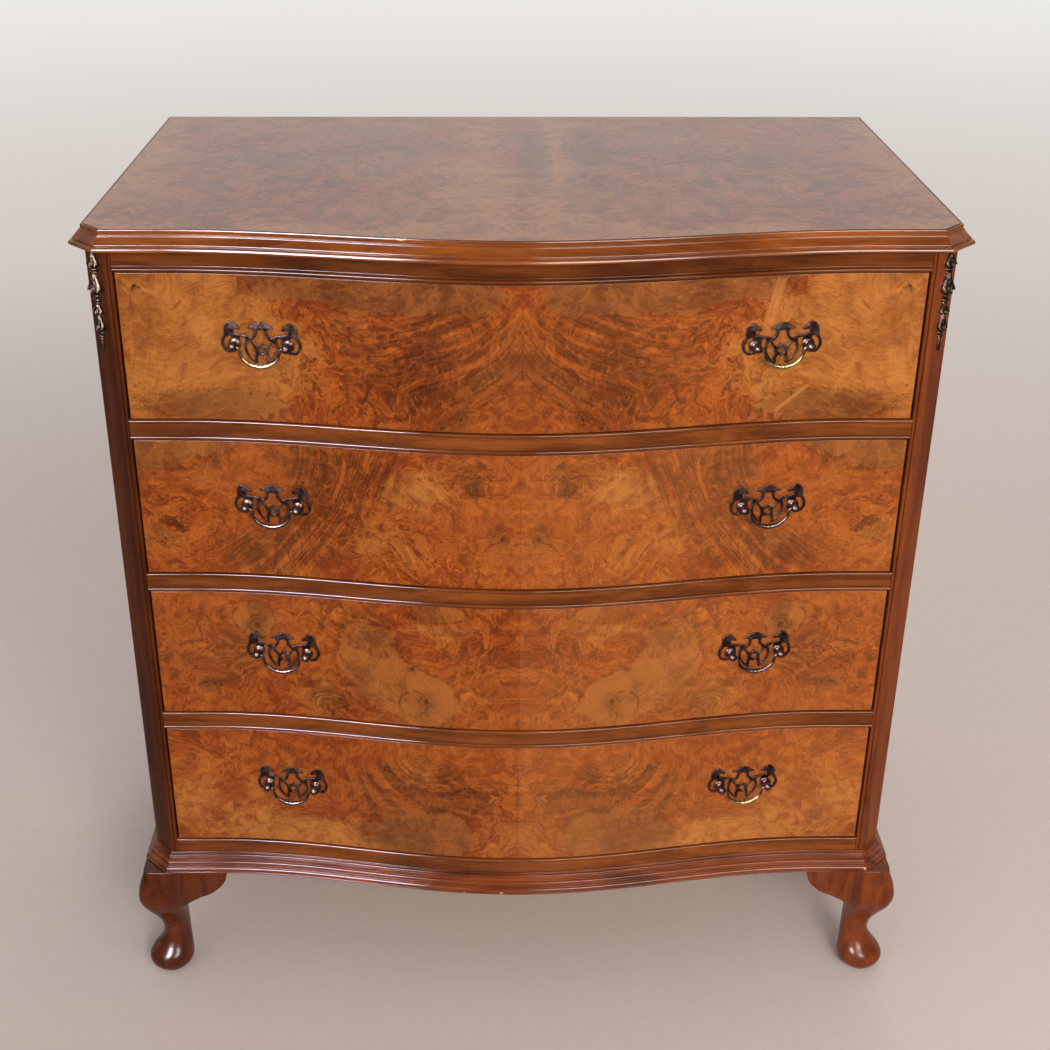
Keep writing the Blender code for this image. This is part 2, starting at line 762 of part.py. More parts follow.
def build():
    clear_scene()
    mats = {
        "veneer": material("burr_walnut_veneer", (0.36, 0.15, 0.05), 0.25),
        "solid_walnut": material("solid_walnut", (0.13, 0.045, 0.018), 0.25),
        "lining": material("drawer_lining", (0.42, 0.27, 0.14), 0.6),
        "ply": material("plywood", (0.36, 0.24, 0.13), 0.7),
        "brass": material("aged_brass", (0.10, 0.075, 0.045), 0.35, 1.0)}
    build_case(mats)
    build_top(mats)
    build_base(mats)
    build_legs(mats)
    build_drops(mats)
    for number in range(1, DRAWERS + 1):
        build_drawer(number, mats)
    build_handles(mats)
    hang_on_slides()


build()
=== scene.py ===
import math

import bmesh
import bpy
import numpy as np
from mathutils import Matrix, Vector


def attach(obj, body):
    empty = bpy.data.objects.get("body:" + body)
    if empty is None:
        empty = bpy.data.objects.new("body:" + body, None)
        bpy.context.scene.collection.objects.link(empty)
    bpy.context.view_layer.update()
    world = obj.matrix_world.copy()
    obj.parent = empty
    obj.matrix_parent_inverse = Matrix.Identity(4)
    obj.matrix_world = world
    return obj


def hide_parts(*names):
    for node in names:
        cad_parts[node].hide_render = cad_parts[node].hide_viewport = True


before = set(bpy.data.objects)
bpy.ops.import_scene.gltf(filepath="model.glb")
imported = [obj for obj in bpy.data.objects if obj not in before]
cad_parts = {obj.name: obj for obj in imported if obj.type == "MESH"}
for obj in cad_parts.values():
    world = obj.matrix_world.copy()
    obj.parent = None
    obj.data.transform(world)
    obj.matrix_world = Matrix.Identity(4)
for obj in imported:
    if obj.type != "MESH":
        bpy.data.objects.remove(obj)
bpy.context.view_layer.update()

# ---------------------------------------------------------------- sizes
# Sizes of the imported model, in metres, that the visible pieces follow.
CASE_HALF, CASE_DEPTH, CANT = 0.455, 0.515, 0.0224
SWELL, SWELL_HALF, SWELL_FACETS = 0.041, 0.372, 16
FRONT_Y = -0.2315
BASE_Z, CASE_TOP, HEIGHT = 0.162, 0.963, 0.984
INNER_HALF = 0.424
SEAT = 0.0003
POST_DEPTH, POST_BEAD, POST_QUIRK = 0.030, 0.0038, 0.0016
DRAWERS, LOWEST_FLOOR, OPENING, RAIL = 4, 0.2052, 0.1663, 0.023
BEAD, BEAD_PROUD = 0.0040, 0.0022
TOP_BACK, TOP_REVEAL, TOP_OVERHANG = 0.004, 0.0015, 0.0150
BASE_OVERHANG, BASE_HEIGHT = 0.0150, 0.0235
FRONT_HALF, FRONT_THICK, FRONT_MIDDLE = 0.4215, 0.020, 0.0829
TOP_GAP, BOTTOM_GAP, RUN_GAP = 0.0015, 0.0010, 0.0005
BOTTOM_LIFT, BOTTOM_PLY, GROOVE = 0.011, 0.005, 0.005
LINING_BELOW = 0.0163
HANDLE_X, HANDLE_RISE, BORE = 0.2733, 0.0062, 0.02857
PLATE_THICK, PLATE_GAP, AXIS_OUT = 0.0016, 0.0004, 0.0115
PIN_RADIUS = 0.0017
LEG_HEIGHT, REAR_LEG_IN = 0.162, 0.0360
EAR_LENGTH, EAR_PROUD, EAR_THICK = 0.0798, 0.0080, 0.020
CORNER_X, CORNER_Y = CASE_HALF - 0.5 * CANT, FRONT_Y + 0.5 * CANT
DROP_BELOW = 0.005
SIDES = (("left", -1.0), ("right", 1.0))
NUMBERS = range(1, DRAWERS + 1)
MM = 0.001
UP = Vector((0.0, 0.0, 1.0))


def opening_floor(number):
    return LOWEST_FLOOR + (DRAWERS - number) * (OPENING + RAIL)


def swell(x):
    if abs(x) >= SWELL_HALF:
        return 0.0
    return 0.5 * SWELL * (1.0 + math.cos(math.pi * x / SWELL_HALF))


def front_y(x):
    return FRONT_Y - swell(x)


def lin(r, g, b):
    """A screen colour as the linear one that a socket takes."""
    def one(c):
        c = c / 255.0
        return c / 12.92 if c <= 0.04045 else ((c + 0.055) / 1.055) ** 2.4
    return (one(r), one(g), one(b), 1.0)


def dimmed(colour, share):
    return tuple(share * c for c in colour[:3]) + (1.0,)


def metres(row):
    """The places and sizes that a row in millimetres starts with."""
    return [number / 1000.0 for number in row[:4]]


def ellipse(x, y, cx, cy, rx, ry, angle=0.0):
    """Coordinates in a turned ellipse, in its own radii."""
    c, s = math.cos(math.radians(angle)), math.sin(math.radians(angle))
    dx, dy = x - cx, y - cy
    return (dx * c + dy * s) / rx, (dy * c - dx * s) / ry


# ------------------------------------------------------------ materials
class Val:
    """An output in a node tree that can be reckoned with."""

    def __init__(self, tree, socket):
        self.tree, self.socket = tree, socket

    def __add__(self, other):
        return self.tree.math("ADD", self, other)

    def __sub__(self, other):
        return self.tree.math("SUBTRACT", self, other)

    def __rsub__(self, other):
        return self.tree.math("SUBTRACT", other, self)

    def __mul__(self, other):
        return self.tree.math("MULTIPLY", self, other)

    def __truediv__(self, other):
        return self.tree.math("DIVIDE", self, other)

    def __abs__(self):
        return self.tree.math("ABSOLUTE", self)

    __radd__, __rmul__ = __add__, __mul__

    def step(self, low, high, out_low=0.0, out_high=1.0):
        """A smooth step between two values."""
        inputs = {"Value": self, "From Min": low, "From Max": high,
                  "To Min": out_low, "To Max": out_high}
        return self.tree.node("MapRange", "Result", inputs,
                              interpolation_type="SMOOTHSTEP")

    def over(self, share, colour):
        """This colour with a share of another laid over it."""
        return self.tree.mix(share, self, colour)


class Tree:
    """The emptied node tree of a material or a world."""

    def __init__(self, owner):
        self.owner = owner
        owner.use_nodes = True
        self.nodes, self.links = owner.node_tree.nodes, owner.node_tree.links
        self.nodes.clear()

    def node(self, kind, out, inputs=None, **settings):
        """Add a node, feed its inputs and give one of its outputs."""
        node = self.nodes.new("ShaderNode" + kind)
        for name, value in settings.items():
            setattr(node, name, value)
        for key, value in (inputs or {}).items():
            if isinstance(value, Val):
                self.links.new(value.socket, node.inputs[key])
            else:
                node.inputs[key].default_value = value
        return Val(self, node.outputs[out])

    def end(self, kind, shader):
        out = self.nodes.new("ShaderNode" + kind)
        self.links.new(shader.socket, out.inputs[0])
        return self.owner

    def math(self, how, a, b=0.0):
        return self.node("Math", 0, {0: a, 1: b}, operation=how)

    def vec(self, how, a, b=None, c=None):
        inputs = {0: a}
        if b is not None:
            inputs[3 if how == "SCALE" else 1] = b
        if c is not None:
            inputs[2] = c
        single = how in ("LENGTH", "DOT_PRODUCT", "DISTANCE")
        return self.node("VectorMath", "Value" if single else "Vector",
                         inputs, operation=how)

    def add(self, a, b):
        return self.vec("ADD", a, b)

    def scale(self, a, b):
        return self.vec("SCALE", a, b)

    def combine(self, x, y, z=0.0):
        return self.node("CombineXYZ", 0, {0: x, 1: y, 2: z})

    def separate(self, vector):
        first = self.node("SeparateXYZ", 0, {0: vector})
        return [Val(self, out) for out in first.socket.node.outputs]

    def place(self):
        return self.node("TexCoord", "Object")

    def noise(self, vector, scale, detail, rough, twist=0.0, out="Fac"):
        return self.node("TexNoise", out, {
            "Vector": vector, "Scale": scale, "Detail": detail,
            "Roughness": rough, "Distortion": twist})

    def wander(self, vector, scale, detail, rough):
        """Noise in three directions, about zero."""
        noise = self.noise(vector, scale, detail, rough, 0.0, "Color")
        return self.vec("SUBTRACT", noise, (0.5, 0.5, 0.5))

    def mix(self, share, a, b):
        """The Mix node's colour sockets are its inputs 6 and 7, output 2."""
        return self.node("Mix", 2, {0: share, 6: a, 7: b}, data_type="RGBA")

    def blobs(self, p, specs, start=0.0, core=0.0):
        """Soft ellipses added up: centre, radii and height. Each one is
        even inside its core."""
        total = start
        for spec in specs:
            cs, ct, rs, rt = metres(spec)
            q = self.vec("MULTIPLY_ADD", p, (1.0 / rs, 1.0 / rt, 0.0),
                         (-cs / rs, -ct / rt, 0.0))
            total = self.vec("LENGTH", q).step(core, 1.0, spec[4], 0.0) + total
        return total

    def bump(self, height, distance):
        return self.node("Bump", 0, {"Height": height, "Distance": distance})

    def principled(self, colour, roughness, normal=None, **fixed):
        inputs = {"Base Color": colour, "Roughness": roughness}
        if normal is not None:
            inputs["Normal"] = normal
        for name, number in fixed.items():
            inputs[name.replace("_", " ")] = number
        return self.node("BsdfPrincipled", 0, inputs)

    def shade(self, *look, **fixed):
        return self.end("OutputMaterial", self.principled(*look, **fixed))


# Figure of each veneered sheet. Places are in millimetres from the joint
# line and from the middle of the sheet, then come radii and a strength; a
# hill's strength is its height in metres. Knots have a place and a size.
# Rings have radii, an angle, a line width and a strength, and are mirrored
# with the leaves. Marks have an angle too: they are scratches and patches
# of one leaf only, and so is dusk.
# A sheet's lift is painted light: a share of paler colour over its whole right
# leaf.
SHEETS = {
    1: {
        "seed": 3.7, "lift": 0.0, "sap": ((96, 53, 25), (140, 83, 39)),
        "lean": (0.1, 1.0), "peak": (0.07, 0.052),
        "honey": [(370, 20, 190, 190, 1.5), (270, -20, 90, 90, 0.4),
            (120, -90, 70, 30, 0.5)],
        "olive": [(70, 66, 70, 34, 1.0), (160, 76, 105, 40, 1.0),
            (255, 80, 70, 30, 0.7), (330, -66, 105, 30, 0.7)],
        "hills": [(150, -90, 90, 70, 0.06), (240, 20, 80, 70, -0.03),
            (395, 60, 50, 50, 0.05)],
        "lines": [(100, 0, 200, 130, 1.0), (220, -50, 80, 80, 0.4)],
        "bands": [(75, -5, 150, 100, 1.1)],
        "curls": [(240, 0, 90, 100, 0.9), (160, -60, 120, 40, 0.8)],
        "knots": [(398.5, 64, 1.4), (65, -66, 3.6), (83, -79, 3.6)],
        "rings": [(398.5, 64, 6.2, 5.6, 15, 2.2, 1.8)],
        "marks": [(263, 55, 5.4, 27, -12, 0.34),
            (290, -55, 24, 2.2, 40, 0.42), (345, -30, 30, 3.5, 62, 0.22),
            (400, -20, 9, 23, 8, 0.24), (-335, 20, 12, 26, 25, 0.22)],
    },
    2: {
        "seed": 11.3, "lift": 0.06, "sap": ((108, 60, 27), (152, 91, 41)),
        "lean": (0.45, 0.25),
        "honey": [(110, 30, 65, 45, 1.0), (170, -40, 120, 50, 0.4),
            (300, -60, 100, 40, 0.4)],
        "olive": [(405, 74, 75, 44, 1.0), (330, 82, 40, 26, 0.6)],
        "hills": [(360, 100, 260, 300, 0.26), (70, 60, 70, 60, -0.07),
            (90, -60, 80, 50, 0.06)],
        "lines": [(210, 30, 100, 120, 0.8), (280, -60, 110, 50, 0.8),
            (70, 60, 60, 50, 1.0)],
        "bands": [(215, 30, 75, 140, 1.3), (290, -55, 110, 45, 1.0),
            (150, 50, 50, 70, 0.7)],
        "curls": [(380, -20, 100, 80, 1.1), (100, -50, 130, 60, 1.0),
            (50, 50, 70, 50, 1.0)],
        "knots": [(20, -20, 3.8), (335, 58, 3.2), (48, 46, 3.6)],
        "rings": [(48, 46, 15, 11, 30, 1.4, 0.6),
            (50, 44, 23, 18, 20, 1.4, 0.5)],
    },
    3: {
        "seed": 23.9, "lift": 0.1, "sap": ((112, 61, 27), (160, 94, 42)),
        "lean": (0.9, 0.4),
        "honey": [(100, 50, 70, 30, 0.9), (250, -60, 80, 50, 0.4),
            (360, 0, 60, 60, 0.3)],
        "olive": [(172, 2, 52, 88, 1.0), (108, -50, 56, 46, 1.0),
            (140, -34, 50, 50, 0.7), (100, 72, 60, 20, 0.6),
            (302, 46, 30, 34, 1.0), (364, -43, 17, 13, 1.0)],
        "hills": [(150, -10, 100, 120, 0.05), (300, 30, 70, 70, 0.06),
            (240, -60, 80, 60, -0.05)],
        "lines": [(350, 20, 80, 90, 0.8), (230, -50, 70, 60, 0.5),
            (160, 60, 100, 40, 0.6)],
        "bands": [(330, -5, 45, 85, 1.0), (225, -55, 60, 50, 0.7)],
        "curls": [(380, 0, 100, 100, 1.0), (40, 0, 80, 100, 1.2),
            (200, 60, 100, 40, 0.8)],
        "knots": [(109, -47, 5), (302, 40, 5.5), (357, -43, 4),
            (369, -43, 4)],
        "rings": [(123, -51, 16, 17.5, 20, 1.6, 0.7),
            (302, 42, 12.5, 11, 0, 1.4, 0.7)],
    },
    4: {
        "seed": 37.1, "lift": 0.1, "sap": ((100, 54, 25), (142, 82, 37)),
        "lean": (0.35, 1.0), "peak": (0.03, 0.04),
        "honey": [(380, -30, 140, 100, 0.9), (230, -65, 150, 50, 1.2),
            (20, -50, 60, 60, 0.6), (120, 30, 60, 30, 0.3)],
        "olive": [(120, -55, 100, 52, 0.95)],
        "hills": [(120, 100, 180, 160, -0.2), (320, 60, 90, 80, 0.06)],
        "lines": [(100, 10, 140, 70, 0.8), (300, 50, 80, 50, 0.5)],
        "bands": [(120, 5, 140, 85, 1.2)],
        "curls": [(10, 0, 50, 100, 1.0), (380, 40, 80, 60, 0.9),
            (350, -50, 80, 50, 0.6)],
        "rings": [(133, 34, 37, 3.6, 18, 1.2, 0.7)],
    },
    "top": {
        "seed": 52.3, "lift": 0.0, "murk": 0.3,
        "sap": ((112, 61, 27), (158, 95, 42)), "lean": (0.5, 1.0),
        "honey": [(50, 0, 55, 600, 1.2), (460, 0, 70, 600, 1.4),
            (220, -260, 500, 70, 1.5), (40, -200, 130, 100, 0.8)],
        "olive": [(300, -50, 90, 60, 0.5)],
        "hills": [(100, -50, 140, 140, 0.12), (300, 120, 120, 120, -0.1),
            (340, -140, 120, 100, 0.1), (120, 180, 100, 100, -0.08)],
        "lines": [(200, 50, 260, 220, 0.5)],
        "curls": [(220, 20, 240, 260, 0.8), (300, -150, 150, 100, 0.6)],
        "knots": [(210, -60, 6), (130, 90, 5)],
        "dusk": [(20, 60, 22, 200, 0.45), (85, 100, 35, 160, 0.45),
            (70, -100, 40, 100, 0.3)],
    },
}

HONEY = lin(185, 114, 51)
HONEY_DARK = lin(150, 85, 37)
ORANGE = lin(172, 86, 29)
RED = lin(142, 60, 19)
BROWN = lin(84, 38, 15)
INK = lin(48, 23, 12)
POLISH = {"Specular_IOR_Level": 0.06, "Coat_IOR": 1.5}


def burr(tree, s, t, design):
    """Colour and fine figure of a sheet of burr veneer."""
    seed, lean = design["seed"], design["lean"]
    p = tree.combine(s, t, seed)
    # Warps of two sizes make the lines wander and curl.
    wide = tree.vec("MULTIPLY", tree.wander(p, 9.0, 1.0, 0.5),
                    (0.070, 0.060, 0.0))
    curls = tree.blobs(p, design["curls"]).step(0.05, 0.9)
    close = tree.scale(tree.wander(tree.add(p, wide), 42.0, 3.0, 0.6),
                       curls * 0.042 + 0.014)
    close = tree.vec("MULTIPLY", close, (1.0, 1.0, 0.0))
    q = tree.add(tree.add(p, wide), close)
    r = tree.add(tree.add(p, tree.scale(wide, 0.30)), tree.scale(close, 0.15))

    def level(at):
        """A height field whose level lines are the grain."""
        field = tree.vec("DOT_PRODUCT", at, (*lean, 0.0))
        field = tree.blobs(at, design["hills"], field)
        if "peak" in design:
            rise, reach = design["peak"]
            field = field - tree.math("EXPONENT", s * (-1.0 / reach)) * rise
        return field

    along = tree.vec("DOT_PRODUCT", q, (-0.13 * lean[1], 0.13 * lean[0], 0.0))
    grain = tree.combine(level(q), along, seed)
    coarse = tree.noise(grain, 135.0, 3.0, 0.64)
    fine = tree.noise(grain, 460.0, 3.0, 0.62)

    # Tone zones.
    cloud = tree.noise(q, 16.0, 4.0, 0.62, 0.3)
    mottle = tree.noise(q, 66.0, 5.0, 0.68, 0.8)
    speck = tree.noise(q, 240.0, 3.0, 0.7, 0.8)
    honey = tree.blobs(q, design["honey"]) + (cloud - 0.5) * 2.0
    honey = (honey + (mottle - 0.5) * 1.2).step(0.05, 1.05)
    patch = tree.blobs(r, design["olive"], 0.0, 0.25) + (mottle - 0.5) * 0.9
    patch = patch + (cloud - 0.5) * 1.1
    olive = patch.step(0.26, 0.58)
    pale = mottle * 0.6 + cloud * 0.4 + (fine - 0.5) * 0.16
    sap = cloud * 0.65 + mottle * 0.35 + (fine - 0.5) * 0.20
    sap = tree.mix(sap.step(0.40, 0.60), *[lin(*c) for c in design["sap"]])
    tone = tree.mix((cloud + (mottle - 0.5) * 1.7).step(0.32, 0.66), RED, ORANGE)
    tone = tone.over(honey, tree.mix(pale.step(0.38, 0.60), HONEY_DARK, HONEY))
    tone = tone.over(olive * 0.88, sap)
    if "murk" in design:
        murk = (cloud + (mottle - 0.5) * 0.9).step(0.56, 0.40)
        murk = murk * (1.0 - honey * 0.6)
        tone = tone.over(murk * design["murk"], BROWN)

    # Dark streaks along the grain, strong only in places and broken up.
    amount = tree.blobs(q, design["lines"]) + (cloud - 0.5) * 0.9
    amount = amount.step(0.05, 0.9)
    calm = (1.0 - olive * 0.80) * (1.0 - honey * 0.60)
    broken = (mottle + (speck - 0.5) * 0.5).step(0.64, 0.40)
    streak = abs((coarse - 0.5) * 2.0).step(0.10, 0.0)
    wash = (coarse + (mottle - 0.5) * 0.35).step(0.57, 0.37)
    tone = tone.over(wash * calm * (amount * 0.40 + 0.16), BROWN)
    tone = tone.over(streak * broken * calm * (amount * 0.65 + 0.10), INK)
    tone = tone.over(fine.step(0.56, 0.38) * (calm * 0.30 + 0.07), BROWN)
    tone = tone.over(fine.step(0.56, 0.72) * 0.14, lin(194, 116, 48))

    # Zones of long parallel lines, less curled than the rest.
    if "bands" in design:
        band = tree.blobs(r, design["bands"]) + (cloud - 0.5) * 0.5
        band = band.step(0.10, 0.75) * (1.0 - olive * 0.7)
        comb = tree.combine(level(r), along * 0.10, seed + 5.0)
        comb = tree.noise(comb, 100.0, 3.0, 0.6)
        tone = tone.over(comb.step(0.60, 0.40) * band * 0.50, BROWN)
        tone = tone.over(abs(comb - 0.47).step(0.050, 0.0) * band * 0.62
                         * mottle.step(0.64, 0.44), INK)

    # Burr clusters: small dark loops and eyes.
    loops = tree.noise(q, 82.0, 2.0, 0.5, 2.4)
    loop = abs(loops - 0.5).step(0.030, 0.0)
    dots = tree.noise(q, 125.0, 2.5, 0.62, 1.2)
    # The last layer is a dark scalloped rim where a pale patch ends.
    rim = abs(patch - 0.30).step(0.14, 0.0)
    for share, colour in (
            (loop * broken * calm * (curls * 0.45 + 0.10), INK),
            (mottle.step(0.46, 0.30) * (curls * 0.70 + 0.30) * calm, BROWN),
            (speck.step(0.47, 0.31) * (calm * 0.45 + 0.12), BROWN),
            (speck.step(0.56, 0.72) * 0.26, lin(198, 122, 52)),
            (dots.step(0.45, 0.33) * (curls * 0.45 + 0.25) * calm,
             lin(88, 36, 13)),
            (dots.step(0.55, 0.67) * (curls * 0.26 + 0.14), lin(208, 122, 48)),
            (rim * 0.55 * loops.step(0.36, 0.58), lin(58, 26, 11))):
        tone = tone.over(share, colour)

    # Knots: a small eye with a broken ring and a brown halo.
    for knot in design.get("knots", ()):
        ks, kt, size = metres(knot)
        near = tree.vec("DISTANCE", tree.add(p, close), (ks, kt, seed))
        near = near + (speck - 0.5) * (size * 0.8)
        eye = near.step(size * 0.95, size * 0.30)
        ring = abs(near - size * 1.5).step(size * 0.38, 0.0)
        tone = tone.over(near.step(size * 4.5, size * 1.2) * 0.40, BROWN)
        tone = tone.over(ring * broken * 0.62, INK)
        tone = tone.over(eye * 0.85, INK)
    # Thin dark lines that close on themselves.
    rs, rt, _ = tree.separate(tree.add(p, tree.scale(close, 0.20)))
    for ring in design.get("rings", ()):
        sizes = metres(ring)
        angle, width, strength = ring[4:]
        u, v = ellipse(rs, rt, *sizes, angle)
        away = abs(tree.vec("LENGTH", tree.combine(u, v)) - 1.0)
        share = width / 1000.0 / min(sizes[2:])
        tone = tone.over(away.step(share, share * 0.25)
                         * mottle.step(0.62, 0.40) * strength, INK)
    return tone, mottle, fine


def veneer(name, sheet, flat_axis, middle, coat=0.42):
    """Polished book-matched burr. flat_axis is the sheet's other axis."""
    tree, design = Tree(bpy.data.materials.new(name)), SHEETS[sheet]
    x, y, z = tree.separate(tree.place())
    other = {"y": y, "z": z}[flat_axis] - middle
    tone, mottle, fine = burr(tree, abs(x), other, design)
    # Tone that isn't mirrored, painted light that lightens the whole right leaf,
    # and the joint of the two leaves.
    drift = tree.noise(tree.place(), 5.0, 2.0, 0.5)
    tone = tone.over(drift.step(0.35, 0.65) * 0.12, lin(184, 118, 60))
    tone = tone.over(x.step(-0.0004, 0.0004) * design["lift"], lin(206, 138, 78))
    tone = tone.over(abs(x).step(0.0006, 0.0001) * 0.28, INK)
    for row in design.get("dusk", ()):
        u, v = ellipse(x, other, *metres(row))
        away = tree.vec("LENGTH", tree.combine(u, v)) + (mottle - 0.5) * 1.6
        tone = tone.over(away.step(1.1, 0.5) * row[4], BROWN)
    for row in design.get("marks", ()):
        u, v = ellipse(x, other, *metres(row), row[4])
        inside = tree.math("MAXIMUM", abs(u), abs(v)) + (fine - 0.5) * 0.5
        tone = tone.over(inside.step(1.05, 0.80) * row[5], lin(206, 138, 72))
    smear = tree.noise(tree.vec("MULTIPLY", tree.place(), (1.0, 1.0, 2.5)),
                       14.0, 3.0, 0.6)
    return tree.shade(tone, smear.step(0.3, 0.7, 0.24, 0.36),
                      tree.bump(fine * 0.5 + mottle * 0.5, 0.00012),
                      Coat_Weight=coat, Coat_Roughness=0.09, **POLISH)


def timber(name, axis, light, dark, gloss, figure=1.0, chips=(), polish=0.08):
    """Straight-grained wood whose grain runs along the given axis.
    Chips are pale nicks: centre, length along x and height."""
    tree, dark = Tree(bpy.data.materials.new(name)), lin(*dark)
    place = tree.place()
    stretch = tuple(0.05 if axis == letter else 1.0 for letter in "xyz")
    wander = tree.scale(tree.wander(place, 6.0, 2.0, 0.5), 0.02 * figure)
    p = tree.vec("MULTIPLY", tree.add(place, wander), stretch)
    bands = tree.noise(p, 70.0, 3.0, 0.6, 0.2)
    lines = tree.noise(p, 420.0, 3.0, 0.62)
    pores = tree.noise(p, 1300.0, 2.0, 0.6)
    drift = tree.noise(place, 8.0, 3.0, 0.55)
    share = (bands + (drift - 0.5) * 0.5).step(0.26, 0.74)
    tone = tree.mix(share, dark, lin(*light))
    tone = tone.over(lines.step(0.50, 0.32) * 0.38, dimmed(dark, 0.5))
    tone = tone.over(pores.step(0.42, 0.28) * 0.40, dimmed(dark, 0.5))
    for cx, cy, cz, rx, rz in chips:
        q = tree.vec("MULTIPLY_ADD", place, (1.0 / rx, 1.0 / rz, 1.0 / rz),
                     (-cx / rx, -cy / rz, -cz / rz))
        away = tree.vec("LENGTH", q) + (pores - 0.5) * 0.9 + (lines - 0.5) * 0.9
        tone = tone.over(away.step(1.1, 0.7) * 0.8, lin(226, 180, 128))
    height = lines * 0.6 + pores * 0.6
    if not gloss:
        return tree.shade(tone, drift.step(0.3, 0.7, 0.55, 0.72),
                          tree.bump(height, 0.00018), Specular_IOR_Level=0.3)
    return tree.shade(tone, drift.step(0.3, 0.7, 0.22, 0.36),
                      tree.bump(height, 0.00008), Coat_Weight=gloss,
                      Coat_Roughness=polish, **POLISH)


def brass(name, dark, light, worn_at=None, bright=None,
          rough_range=(0.26, 0.44), relief=0.0):
    """Bronzed cast brass. worn_at is where hands rub it bright, and relief
    is how dark its hollows and how pale its ridges are."""
    tree, dark = Tree(bpy.data.materials.new(name)), lin(*dark)
    place = tree.place()
    cloud = tree.noise(place, 160.0, 4.0, 0.6)
    grit = tree.noise(place, 900.0, 3.0, 0.65)
    tone = tree.mix(cloud.step(0.35, 0.65), dark, lin(*light))
    tone = tone.over(grit.step(0.48, 0.30) * 0.6, dimmed(dark, 0.45))
    rough = (cloud + (grit - 0.5) * 0.5).step(0.3, 0.7, *rough_range)
    if worn_at:
        v = tree.separate(place)[1]
        worn = (v + (cloud - 0.5) * 0.004).step(*worn_at)
        tone = tone.over(worn, lin(*bright))
        rough = rough - worn * 0.08
    if relief:
        shape = tree.node("NewGeometry", "Pointiness")
        tone = tone.over(shape.step(0.500, 0.455) * relief, dimmed(dark, 0.22))
        tone = tone.over(shape.step(0.520, 0.570) * relief, lin(162, 144, 122))
    return tree.shade(tone, rough, tree.bump(cloud * 0.4 + grit * 0.6, 0.00012),
                      Metallic=1.0)


TOP_CHIPS = [(-0.122, -0.2640, 0.9835, 0.0050, 0.0020),
             (-0.104, -0.2720, 0.9660, 0.0018, 0.0012),
             (-0.440, -0.2330, 0.9670, 0.0040, 0.0015)]
BASE_CHIPS = [(0.436, -0.2460, 0.1660, 0.0022, 0.0022),
              (0.431, -0.2440, 0.1760, 0.0018, 0.0020),
              (-0.066, -0.2850, 0.1640, 0.0018, 0.0014),
              (-0.020, -0.2870, 0.1645, 0.0024, 0.0016),
              (-0.300, -0.2440, 0.1660, 0.0018, 0.0014)]
EDGE_TONES = (162, 86, 29), (108, 52, 16), 1.0
FOOT_TONES = (142, 68, 26), (86, 37, 13), 1.0
LOOKS = {
    "rail": timber("walnut_along", "x", (144, 76, 26), (92, 44, 15), 0.85),
    # The frieze is a darker copy of the rail's walnut: painted shade under the
    # top moulding.
    "frieze": timber("walnut_frieze_painted_shade", "x", (122, 62, 19), (78, 36, 11), 0.6),
    # The left and right posts and legs are lit and shaded copies of one walnut:
    # the left ones darker with painted shade, the right ones lighter with painted
    # light.
    "post_left": timber("walnut_upright_painted_shade", "z", (101, 47, 20), (67, 29, 13),
                        0.3),
    "post_right": timber("walnut_upright_painted_light", "z", (129, 63, 28), (90, 40, 18),
                         0.35),
    "leg_left": timber("walnut_leg_1", "z", (108, 47, 18), (70, 29, 12), 0.6,
                       2.0, polish=0.20),
    "leg_right": timber("walnut_leg_2", "z", (138, 65, 27), (97, 42, 17), 0.6,
                        2.0, polish=0.20),
    "side": timber("walnut_side", "z", (150, 86, 42), (108, 56, 27), 0.5, 1.4),
    "moulding": timber("walnut_moulding", "x", *EDGE_TONES, 1.0, TOP_CHIPS, 0.12),
    "moulding_side": timber("walnut_moulding_y", "y", *EDGE_TONES, polish=0.12),
    "base": timber("walnut_base", "x", *FOOT_TONES, 1.0, BASE_CHIPS, 0.12),
    "base_side": timber("walnut_base_y", "y", *FOOT_TONES, polish=0.12),
    # Near-black finish for joints: a dark joint line, and painted shade in narrow
    # grooves.
    "joint": timber("joint_line_and_painted_shade", "x", (58, 26, 14), (36, 16, 9), 0.0),
    "core": timber("front_core", "x", (150, 96, 56), (112, 66, 36), 0.0),
    "lining_y": timber("lining_along", "y", (188, 146, 98), (158, 116, 72), 0.0),
    "lining_x": timber("lining_across", "x", (184, 142, 94), (154, 112, 70), 0.0),
    "ply_x": timber("ply_across", "x", (190, 154, 108), (168, 130, 86), 0.0, 1.5),
    "ply_z": timber("ply_upright", "z", (176, 138, 94), (148, 110, 70), 0.0, 3.0),
    "brass": brass("bronzed_brass", (78, 61, 60), (116, 94, 86)),
    "bail": brass("rubbed_brass", (92, 74, 66), (140, 116, 92),
                  (-0.0100, -0.0160), (214, 190, 134)),
    "dull_bail": brass("handled_brass", (82, 67, 66), (120, 102, 96),
                       (-0.0120, -0.0190), (122, 108, 106)),
    "drop": brass("cast_brass", (56, 46, 38), (100, 84, 70),
                  rough_range=(0.30, 0.50), relief=0.9),
    "top": veneer("burr_top", "top", "y", 0.0, 1.0),
}
for number in NUMBERS:
    LOOKS[number] = veneer("burr_front_%d" % number, number, "z",
                           opening_floor(number) + FRONT_MIDDLE)


# ------------------------------------------------------------- mesh code
def add_data(name, data):
    """Put an object with this mesh, curve, light or camera in the scene."""
    obj = bpy.data.objects.new(name, data)
    bpy.context.scene.collection.objects.link(obj)
    return obj


def add_points(name, points, faces):
    mesh = bpy.data.meshes.new(name)
    mesh.from_pydata([tuple(p) for p in points], [], faces)
    return add_data(name, mesh)


def discard(*objects):
    for obj in objects:
        bpy.data.objects.remove(obj, do_unlink=True)


